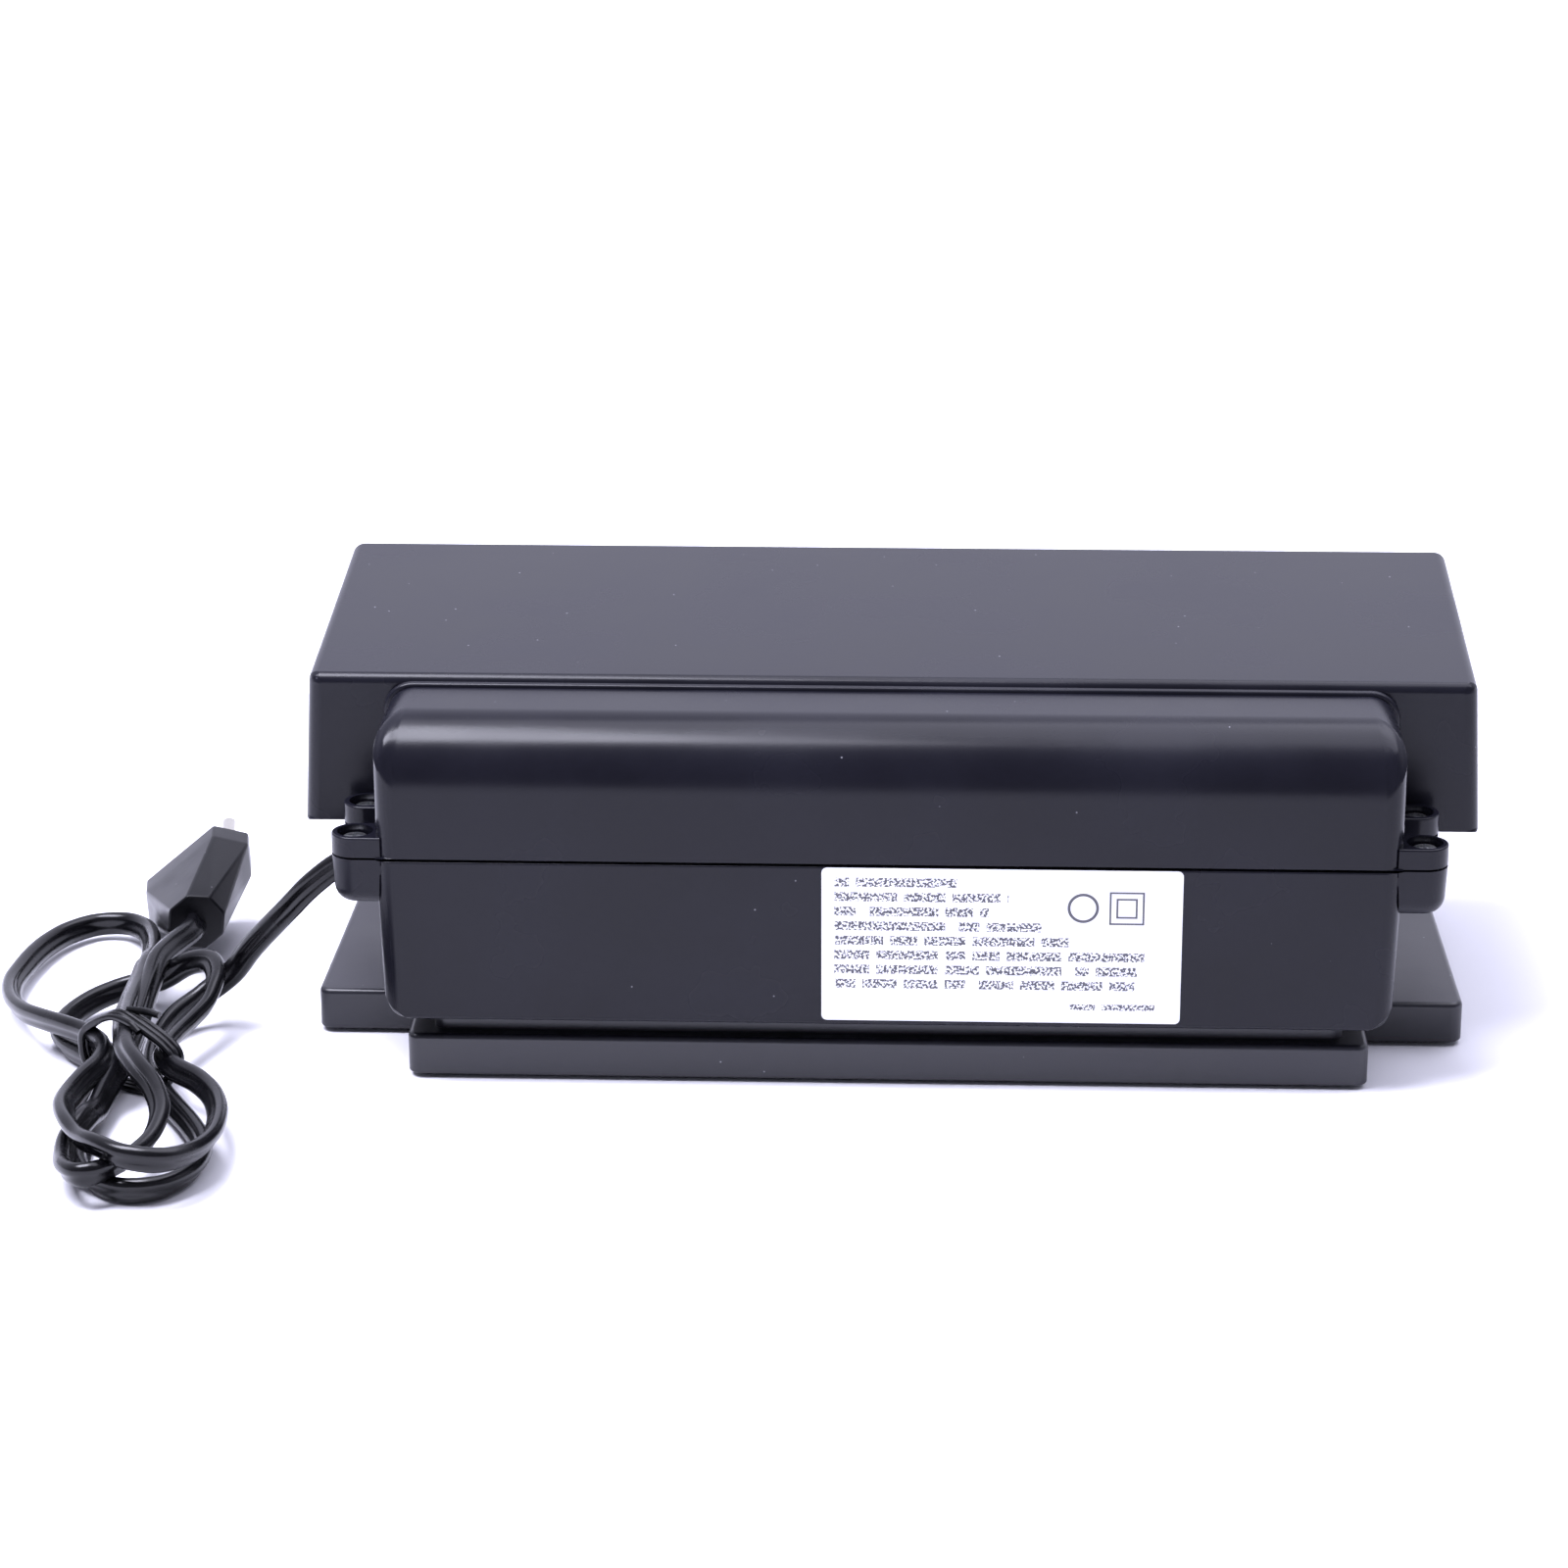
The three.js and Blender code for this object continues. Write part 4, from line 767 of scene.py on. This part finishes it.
def upper_cover():
    radii = {(1, 1): 15.0, (-1, 1): 1.0, (0, 1): 6.4, (1, 0): 4.6, (-1, 0): 1.0}
    rim = {(1, -1): 0.3, (-1, -1): 0.3, (0, -1): 0.3}
    bottom = SEAM_Z + SEAM_GAP / 2
    bm = soft_box(
        (-HOUSING_HALF, HOUSING_HALF), (HOUSING_FRONT, HOUSING_REAR), (bottom, COVER_TOP), radii | rim
    )
    inside = soft_box(
        (-HOUSING_HALF + WALL, HOUSING_HALF - WALL),
        (HOUSING_FRONT + WALL, HOUSING_REAR - WALL),
        (bottom - 5, COVER_TOP - WALL),
        thinner(radii),
    )
    bm = carved(bm, inside)
    bead = arch(BEAD_PROUD, (BEAD_FRONT, BEAD_REAR), 6.6, bottom)
    crest = [
        e
        for e in bead.edges
        if not runs_along(e, 1) and e.verts[0].co.z + e.verts[1].co.z > 2 * bottom + 0.1
    ]
    rounded(bead, crest, 0.8, 4)
    bead = carved(bead, arch(-WALL / 2, (BEAD_FRONT - 2, BEAD_REAR + 2), 5.0, bottom - 2))
    lugs = [ear(side, y, bottom, LUG_TOP, 0, 0.45) for side, y in EARS]
    seats = [
        bar((side * EAR_X, y, LUG_TOP - LUG_SEAT), (side * EAR_X, y, LUG_TOP + 1), 4.0) for side, y in EARS
    ]
    holes = [
        bar((side * EAR_X, y, bottom - 1), (side * EAR_X, y, LUG_TOP), SCREW_HOLE, 20) for side, y in EARS
    ]
    return carved(combined(bm, bead, *lugs), *seats, *holes)


def lower_shell():
    radii = {(1, -1): 1.2, (-1, -1): 1.2, (0, -1): 6.0, (1, 0): 4.0, (-1, 0): 1.0}
    rim = {(1, 1): 0.45, (-1, 1): 0.45, (0, 1): 0.45}
    top = SEAM_Z - SEAM_GAP / 2
    bm = soft_box(
        (-HOUSING_HALF, HOUSING_HALF), (HOUSING_FRONT, HOUSING_REAR), (FLOOR_Z, top), radii | rim
    )
    for vert in bm.verts:  # the ends draw in by 1 mm towards the floor
        vert.co.x *= 1 - (top - vert.co.z) / (top - FLOOR_Z) / HOUSING_HALF
    inside = soft_box(
        (-HOUSING_HALF + WALL, HOUSING_HALF - WALL),
        (HOUSING_FRONT + WALL, HOUSING_REAR - WALL),
        (FLOOR_Z + WALL, top + 5),
        thinner(radii),
    )
    for vert in inside.verts:
        vert.co.x *= 1 - (top - vert.co.z) / (top - FLOOR_Z) / HOUSING_HALF
    bm = carved(bm, inside)
    # A lip inside the seam, held to the wall by a rib along each side.
    inset = WALL + 0.1
    lip, lip_hollow = [
        slab(
            (-HOUSING_HALF + inset + step, HOUSING_HALF - inset - step),
            (HOUSING_FRONT + inset + step, HOUSING_REAR - inset - step),
            z,
        )
        for step, z in ((0, (49.0, 54.6)), (1, (48.0, 56.0)))
    ]
    across, fore_aft = (-HOUSING_HALF + 1, HOUSING_HALF - 1), (HOUSING_FRONT + 1, HOUSING_REAR - 1)
    ribs = [
        slab(x, y, (49.0, 51.0))
        for x, y in (
            (across, (HOUSING_REAR - 3.2, HOUSING_REAR - 1)),
            (across, (HOUSING_FRONT + 1, HOUSING_FRONT + 3.2)),
            ((-HOUSING_HALF + 1, -HOUSING_HALF + 3.2), fore_aft),
            ((HOUSING_HALF - 3.2, HOUSING_HALF - 1), fore_aft),
        )
    ]
    lip = combined(carved(lip, lip_hollow), *ribs)
    bosses = [ear(side, y, SEAM_Z - 11, top, 3.6, 0, taper=0.11) for side, y in EARS]
    inner_floor = FLOOR_Z + WALL
    posts = [bar((x, y, inner_floor - 0.5), (x, y, inner_floor + 9.5), POST) for x, y in BASE_SCREWS]
    pilots = [bar((x, y, 10), (x, y, inner_floor + 9), SCREW_HOLE, 20) for x, y in BASE_SCREWS]
    pilots += [
        bar((side * EAR_X, y, SEAM_Z - 8.5), (side * EAR_X, y, SEAM_Z + 1), SCREW_HOLE, 20)
        for side, y in EARS
    ]
    cord_hole = bar((HOUSING_HALF - 5, CORD_Y, CORD_Z), (HOUSING_HALF + 3, CORD_Y, CORD_Z), 3.9)
    return carved(combined(bm, lip, *bosses, *posts), *pilots, cord_hole)


piece("rear_cover_moulding", upper_cover(), ABS, ("rear_upper_cover",))
piece("rear_shell_moulding", lower_shell(), ABS, ("rear_lower_shell",))


def label_sheet():
    """The rating label: thin film with rounded corners."""
    bm = bmesh.new()
    block(bm, LABEL_X, (HOUSING_REAR, HOUSING_REAR + 0.18), LABEL_Z)
    corners = [e for e in bm.edges if runs_along(e, 1)]
    rounded(bm, corners, 1.2, 5)
    return bm


piece("rating_label_film", label_sheet(), LABEL_FILM, ("rating_label",))


# ---- Base ---------------------------------------------------------------------------------------

def base_outline(inset):
    """The T shape seen from above: a wide tray and a narrower tail."""
    front, rear, tail_rear = TRAY_FRONT + inset, TRAY_REAR - inset, TAIL_REAR - inset
    wide, tail = TRAY_HALF - inset, TAIL_HALF - inset
    narrow = wide - TRAY_TAPER
    return [
        (-narrow, front), (narrow, front), (wide, rear), (tail, rear),
        (tail, tail_rear), (-tail, tail_rear), (-tail, rear), (-wide, rear),
    ]


def base_slab(inset, bottom, top, corner, soft_bottom, soft_top):
    bm = extruded([(x, y, bottom) for x, y in base_outline(inset)], (0, 0, top - bottom))
    # The two inner corners of the T stay sharp.
    upright = [e for e in bm.edges if runs_along(e, 2)]
    inner = [e for e in upright if near(abs(e.verts[0].co.x), TAIL_HALF - inset) and e.verts[0].co.y < 60]
    rounded(bm, [e for e in upright if e not in inner], corner, 6)
    for level, radius in ((bottom, soft_bottom), (top, soft_top)):
        if radius:
            rounded(bm, edges_where(bm, lambda co: near(co.z, level)), radius, 4)
    return bm


def base_moulding():
    bm = base_slab(0, BASE_BOTTOM, BASE_TOP, 3.0, 0.5, 1.2)
    hollow = base_slab(WALL, BASE_BOTTOM - 1, BASE_TOP - WALL, 1.5, 0, 0)
    plinth = bmesh.new()
    block(plinth, (-101, 101), (29, 66), (BASE_TOP - 1, FLOOR_Z))
    rounded(plinth, [e for e in plinth.edges if runs_along(e, 2)], 3.0, 6)
    posts = [bar((x, y, 3), (x, y, 9.5), POST) for x, y in BASE_SCREWS]
    holes = [bar((x, y, 0), (x, y, FLOOR_Z + 1), SCREW_HOLE, 20) for x, y in BASE_SCREWS]
    return carved(combined(carved(bm, hollow), plinth, *posts), *holes)


def bottom_plate():
    bm = base_slab(WALL + 0.3, BASE_BOTTOM, BASE_BOTTOM + 2, 1.5, 0.3, 0.3)
    holes = [bar((x, y, 0), (x, y, 5), 3.2) for x, y in BASE_SCREWS]
    # A grid of shallow grooves in the underside.
    grooves = [slab((x - 0.5, x + 0.5), (-66, 36), (0.6, 1.4)) for x in range(-100, 101, 40)]
    grooves += [slab((-122, 122), (y - 0.5, y + 0.5), (0.6, 1.4)) for y in (-46, -16, 14)]
    return carved(bm, *holes, *grooves)


def foot(x, y):
    """A rubber disc with a rounded rim and a shallow dish underneath."""
    profile = [
        (0, 0.25), (4.2, 0.25), (4.7, 0.0), (5.5, 0.0), (5.9, 0.25), (6.0, 0.6), (6.0, 0.95), (0, 0.95),
    ]
    return turned(profile, (x, y, 0), 2, 40)


piece("base_moulding", base_moulding(), BASE_ABS, ("base_plate",))
piece("bottom_cover", bottom_plate(), BASE_ABS, ("bottom_plate",))
for place, (x, y) in {
    "front_left": (-115, -58), "front_right": (115, -58), "rear_left": (-91.5, 55), "rear_right": (91.5, 55)
}.items():
    piece(f"{place}_rubber_foot", foot(x, y), RUBBER, (f"foot_{place}",))


# ---- Screws -------------------------------------------------------------------------------------

HEAD = 1.9  # height of a screw's head


def pan_screw(length):
    """A pan head with a cross recess, its shaft along +Z from the top of the head at 0."""
    crown = [(2.9 * math.sin(a), 0.75 * (1 - math.cos(a))) for a in (0.0, 0.35, 0.7, 1.05, 1.4)]
    profile = [*crown, (2.9, 1.0), (2.9, 1.75), (2.8, HEAD), (1.5, HEAD)]
    turns = int((length - 1.0) / 1.1)
    for k in range(turns):  # a coarse thread, drawn as rings
        at = 2.2 + 1.1 * k
        profile += [(1.2, at), (1.5, at + 0.35), (1.2, at + 0.7)]
    profile += [(1.1, HEAD + length - 0.6), (0, HEAD + length)]
    bm = turned(profile, (0, 0, 0), 2, 28)
    slots = [
        slab((-1.75, 1.75), (-0.36, 0.36), (-1.0, 1.1)),
        slab((-0.36, 0.36), (-1.75, 1.75), (-1.0, 1.1)),
    ]
    return carved(bm, combined(*slots))


def add_screw(node, head_top, direction, length):
    """A screw that stands for its CAD node, driven along direction from the top of its head."""
    turn = Vector(direction).to_track_quat("Z", "X").to_matrix().to_4x4()
    spin = Matrix.Rotation(math.radians(17 * len(node)), 4, "Z")
    shaped = placed(pan_screw(length), Matrix.Translation(head_top) @ turn @ spin)
    piece(f"{node}_zinc", shaped, ZINC, (node,), crease=35)


for number, (side, y) in enumerate(EARS):
    head_top = LUG_TOP - LUG_SEAT + HEAD
    add_screw(f"ear_screw_{number + 1}", (side * EAR_X, y, head_top), (0, 0, -1), 8.6)
for number, (x, y) in enumerate(BASE_SCREWS):
    add_screw(f"base_screw_{number + 1}", (x, y, BASE_BOTTOM + 0.15), (0, 0, 1), 20)
for number, side in enumerate((-1, 1)):
    add_screw(
        f"hood_screw_{number + 1}",
        (side * HOOD_SCREW_X, HOUSING_FRONT + WALL + HEAD, HOOD_SCREW_Z),
        (0, -1, 0),
        WALL + 4.8,
    )
    add_screw(
        f"reflector_screw_{number + 1}",
        (side * REFLECTOR_SCREW_X, LAMPS_MIDDLE, REFLECTOR_TOP - REFLECTOR_SHEET - HEAD),
        (0, 0, 1),
        5.6,
    )


# ---- Lamp hood ----------------------------------------------------------------------------------

def hood_stretch(bm):
    """Drafts the hood's ends, flares them towards the front and lifts the top there."""
    height = HOOD_TOP - HOOD_BOTTOM
    for vert in bm.verts:
        up = max(0.0, (vert.co.z - HOOD_BOTTOM) / height)
        forward = (HOOD_REAR - vert.co.y) / (HOOD_REAR - HOOD_FRONT)
        vert.co.x *= 1 + (1.8 * (1 - up) + 2.2 * forward) / HOOD_HALF
        vert.co.z += 4.0 * forward * up
    return bm


def hood_moulding():
    radii = {(1, 1): 2.2, (-1, 1): 2.2, (0, 1): 2.2, (1, 0): 3.5, (-1, 0): 3.5}
    rim = {(1, -1): 0.7, (-1, -1): 0.7, (0, -1): 0.7}
    bm = soft_box((-HOOD_HALF, HOOD_HALF), (HOOD_FRONT, HOOD_REAR), (HOOD_BOTTOM, HOOD_TOP), radii | rim)
    inside = soft_box(
        (-HOOD_HALF + WALL, HOOD_HALF - WALL),
        (HOOD_FRONT + WALL, HOOD_REAR - WALL),
        (HOOD_BOTTOM - 5, HOOD_TOP - WALL),
        thinner(radii),
    )
    bm = carved(hood_stretch(bm), hood_stretch(inside))
    gap = 0.4
    opening = arch(gap, (HOUSING_FRONT - gap, HOOD_REAR + 1), 6.4, HOOD_BOTTOM - 4)
    blocks, posts, bores = [], [], []
    for side in (-1, 1):
        x = side * HOOD_SCREW_X
        y = (HOUSING_FRONT - 6.5, HOUSING_FRONT - 0.3)
        blocks.append(slab((x - 5, x + 5), y, (70, HOOD_TOP - 1), 0.4))
        bores.append(bar((x, 20.8, HOOD_SCREW_Z), (x, 29, HOOD_SCREW_Z), SCREW_HOLE, 20))
    for side in (-1, 1):
        x, y = side * REFLECTOR_SCREW_X, LAMPS_MIDDLE
        posts.append(bar((x, y, REFLECTOR_TOP), (x, y, HOOD_TOP), POST))
        bores.append(bar((x, y, 77), (x, y, 84), SCREW_HOLE, 20))
    switch_hole = slab(
        (SWITCH_X - 9.7, SWITCH_X + 9.7),
        (HOOD_FRONT - 1, HOOD_FRONT + WALL + 1),
        (SWITCH_Z - 6.7, SWITCH_Z + 6.7),
    )
    bm = carved(bm, opening)
    return carved(combined(bm, *blocks, *posts), *bores, switch_hole)


piece("hood_moulding", hood_moulding(), ABS, ("hood_shell",))


# ---- Reflector, lamps and holders ---------------------------------------------------------------

def reflector_sheet():
    """Aluminium sheet folded over the lamps, its bends rounded."""
    front, rear, low, sheet, splay = -29.0, 17.0, REFLECTOR_TOP - 14, REFLECTOR_SHEET, 3.6
    under = REFLECTOR_TOP - sheet
    outline = [
        (front, REFLECTOR_TOP), (front - splay, low), (front - splay + sheet, low), (front + sheet, under),
        (rear - sheet, under), (rear + splay - sheet, low), (rear + splay, low), (rear, REFLECTOR_TOP),
    ]
    bm = extruded([(-121.0, y, z) for y, z in outline], (242.0, 0, 0))
    bends = [e for e in bm.edges if runs_along(e, 0) and e.verts[0].co.z > low + 2]
    rounded(bm, [e for e in bends if near(e.verts[0].co.z, REFLECTOR_TOP)], 1.4, 4)
    rounded(bm, [e for e in bm.edges if runs_along(e, 0) and near(e.verts[0].co.z, under)], 0.6, 3)
    holes = [
        bar((x, LAMPS_MIDDLE, 76), (x, LAMPS_MIDDLE, 79), SCREW_HOLE, 20)
        for x in (-REFLECTOR_SCREW_X, REFLECTOR_SCREW_X)
    ]
    return carved(bm, *holes)


def lamp_glass(y):
    """The tube, drawn in a little where its ends go into the caps."""
    half, radius = 98.0, 7.75
    end = [(0, -half), (6.2, -half), (7.2, -half + 0.1), (7.6, -half + 0.8), (radius, -half + 2.4)]
    return turned([*end, *[(r, -x) for r, x in reversed(end)]], (0, y, LAMP_Z), 0, 56)


def lamp_cap(side, y):
    """A drawn cap, crimped round the glass, with its two contact pins."""
    profile = [
        (0, 98.0), (7.7, 98.0), (8.0, 98.2), (8.0, 99.3), (7.86, 99.5), (7.86, 99.9), (8.0, 100.1),
        (8.0, 105.2), (7.7, 105.8), (7.2, 106.0), (0, 106.0),
    ]
    bm = turned([(r, side * x) for r, x in profile], (0, y, LAMP_Z), 0, 56)
    for k in (-1, 1):
        pin = [(0, 105.0), (1.15, 105.0), (1.15, 112.0), (0.9, 112.4), (0.5, 112.5), (0, 112.5)]
        bm = combined(bm, turned([(r, side * x) for r, x in pin], (0, y + k * 2.375, LAMP_Z), 0, 20))
    return bm


def lamp_holder(side, y):
    """A holder with a round pocket for the lamp's pins and a slot up into it."""
    inner, outer = side * HOLDER_X, side * (HOLDER_X + 10)
    x = (min(inner, outer), max(inner, outer))
    under = REFLECTOR_TOP - REFLECTOR_SHEET
    bm = bmesh.new()
    block(bm, x, (y - 9, y + 9), (LAMP_Z - 8.5, under))
    lower = [e for e in bm.edges if runs_along(e, 0) and e.verts[0].co.z < LAMP_Z]
    rounded(bm, lower, 4.0, 6)
    rims = [
        e for e in bm.edges if not runs_along(e, 0) and e.verts[0].co.z + e.verts[1].co.z < 2 * under - 0.1
    ]
    rounded(bm, rims, 0.6, 3)
    pocket = bar((inner - side, y, LAMP_Z), (inner + side * 7.5, y, LAMP_Z), 4.2, 40)
    slot_x = (min(inner - side, inner + side * 7.5), max(inner - side, inner + side * 7.5))
    return carved(bm, pocket, slab(slot_x, (y - 1.5, y + 1.5), (LAMP_Z - 10, LAMP_Z)))


piece("folded_reflector", reflector_sheet(), ROLLED_ALUMINIUM, ("reflector",))
for place, lamp_y in LAMP_YS.items():
    body = f"{place}_lamp"
    piece(
        f"{place}_tube",
        lamp_glass(lamp_y),
        WOODS_GLASS,
        (f"{place}_lamp_glass",),
        body,
    )
    for end, side in (("left", -1), ("right", 1)):
        piece(
            f"{place}_{end}_tube_cap",
            lamp_cap(side, lamp_y),
            DRAWN_ALUMINIUM,
            (f"{place}_lamp_cap_{end}",),
            body,
        )
        piece(
            f"{place}_{end}_lamp_socket",
            lamp_holder(side, lamp_y),
            POLYCARBONATE,
            (f"{place}_holder_{end}",),
        )


# ---- Power switch -------------------------------------------------------------------------------

def switch_frame():
    """The bezel and body, with a pocket for the rocker."""
    bezel = bmesh.new()
    block(
        bezel,
        (SWITCH_X - 10.5, SWITCH_X + 10.5),
        (HOOD_FRONT - 2, HOOD_FRONT),
        (SWITCH_Z - 7.5, SWITCH_Z + 7.5),
    )
    rounded(bezel, [e for e in bezel.edges if runs_along(e, 1)], 1.5, 5)
    rounded(bezel, edges_where(bezel, lambda co: near(co.y, HOOD_FRONT - 2)), 0.8, 4)
    body = slab(
        (SWITCH_X - 9.4, SWITCH_X + 9.4),
        (HOOD_FRONT - 0.5, HOOD_FRONT + 16),
        (SWITCH_Z - 6.4, SWITCH_Z + 6.4),
        0.3,
    )
    tab_y, tab_z = (HOOD_FRONT + 15.5, HOOD_FRONT + 21), (SWITCH_Z - 0.4, SWITCH_Z + 0.4)
    tabs = [slab((x - 2.4, x + 2.4), tab_y, tab_z, 0.1) for x in (SWITCH_X - 5, SWITCH_X + 5)]
    pocket = slab(
        (SWITCH_X - 8.8, SWITCH_X + 8.8), (HOOD_FRONT - 3, HOOD_FRONT + 9), (SWITCH_Z - 5.5, SWITCH_Z + 5.5)
    )
    return carved(combined(bezel, body, *tabs), pocket)


ROCKER_TILT = math.radians(-10)


def rocker_place():
    """The rocker's pivot, tipped to off."""
    pivot = Matrix.Translation((SWITCH_X, HOOD_FRONT + 1.5, SWITCH_Z))
    return pivot @ Matrix.Rotation(ROCKER_TILT, 4, "Z")


def rocker_key():
    """A shallow V-faced key, its edges rounded."""
    outline = [
        (-7.6, -5.1, -5), (-4, -4.35, -5), (0, -3.9, -5), (4, -4.35, -5), (7.6, -5.1, -5),
        (7.6, 0.6, -5), (3.5, 5.5, -5), (-3.5, 5.5, -5), (-7.6, 0.6, -5),
    ]
    bm = extruded(outline, (0, 0, 10))
    rounded(bm, [e for e in bm.edges if e.verts[0].co.y < -3 and e.verts[1].co.y < -3], 0.5, 4)
    return placed(bm, rocker_place())


piece("switch_housing", switch_frame(), NYLON, ("switch_body",))
piece("switch_key", rocker_key(), NYLON, ("switch_rocker",), "rocker", crease=40)


# ---- Parts inside the housing, as they are ------------------------------------------------------

INSIDE = {
    POLYCARBONATE: ("starter_socket_1", "starter_socket_2", "starter_1", "starter_2", "terminal_block"),
    LAMINATIONS: ("ballast_core_1", "ballast_core_2"),
    COPPER: ("ballast_coil_1", "ballast_coil_2"),
}
for material, names in INSIDE.items():
    for name in names:
        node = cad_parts[name]
        if not node.material_slots:
            node.data.materials.append(material)
        for place in node.material_slots:
            place.material = material


# ---- Studio -------------------------------------------------------------------------------------

def add_floor():
    """A plain pale floor."""
    made, tree, shader = new_material("matt_white_board")
    # Matt paper board, with a faint mottle.
    place = add(tree, "TexCoord").outputs["Object"]
    mottle = add(tree, "TexNoise", {"Scale": 3.0, "Vector": place}).outputs["Fac"]
    tone = add(
        tree,
        "Mix",
        {"data_type": "RGBA", 6: linear("e2e2e8"), 7: linear("e7e7ec"), 0: mottle},
    ).outputs[2]
    set_up(tree, shader, {"Base Color": tone, "Roughness": 0.9, "Specular IOR Level": 0.1})
    bm = bmesh.new()
    bmesh.ops.create_grid(bm, x_segments=1, y_segments=1, size=6)
    mesh = bpy.data.meshes.new("floor")
    bm.to_mesh(mesh)
    bm.free()
    mesh.materials.append(made)
    floor = bpy.data.objects.new("floor", mesh)
    bpy.context.scene.collection.objects.link(floor)


def add_softbox(name, place, aim, size, power, tint):
    data = bpy.data.lights.new(name, "AREA")
    data.shape = "RECTANGLE"
    data.size, data.size_y = size
    data.energy = power
    data.color = linear(tint)[:3]
    light = bpy.data.objects.new(name, data)
    light.location = place
    light.rotation_euler = (Vector(aim) - Vector(place)).to_track_quat("-Z", "Y").to_euler()
    bpy.context.scene.collection.objects.link(light)


def add_world():
    """A pale studio: bright beyond the detector, dimmer on the camera's side."""
    world = bpy.data.worlds.new("studio")
    bpy.context.scene.world = world
    world.use_nodes = True
    tree = world.node_tree
    background = tree.nodes["Background"]
    heading = add(tree, "TexCoord").outputs["Generated"]
    parts = add(tree, "SeparateXYZ", {"Vector": heading})
    glow = add(
        tree,
        "MapRange",
        {"From Min": -0.9, "From Max": 0.6, "To Min": 1.4, "To Max": 0.3, "Value": parts.outputs["Y"]},
    ).outputs["Result"]
    set_up(tree, background, {"Strength": glow, "Color": linear("e9e9ff")})


add_floor()
add_world()
add_softbox("key_softbox", (0.56, 0.2, 1.3), (0.3, 0.1, 0.06), (0.7, 0.9), 52, "eeeeff")
add_softbox("overhead_softbox", (-0.6, -0.4, 1.8), (-0.1, 0.0, 0.0), (2.0, 1.6), 36, "eeeeff")
bpy.context.scene.view_settings.view_transform = "Standard"
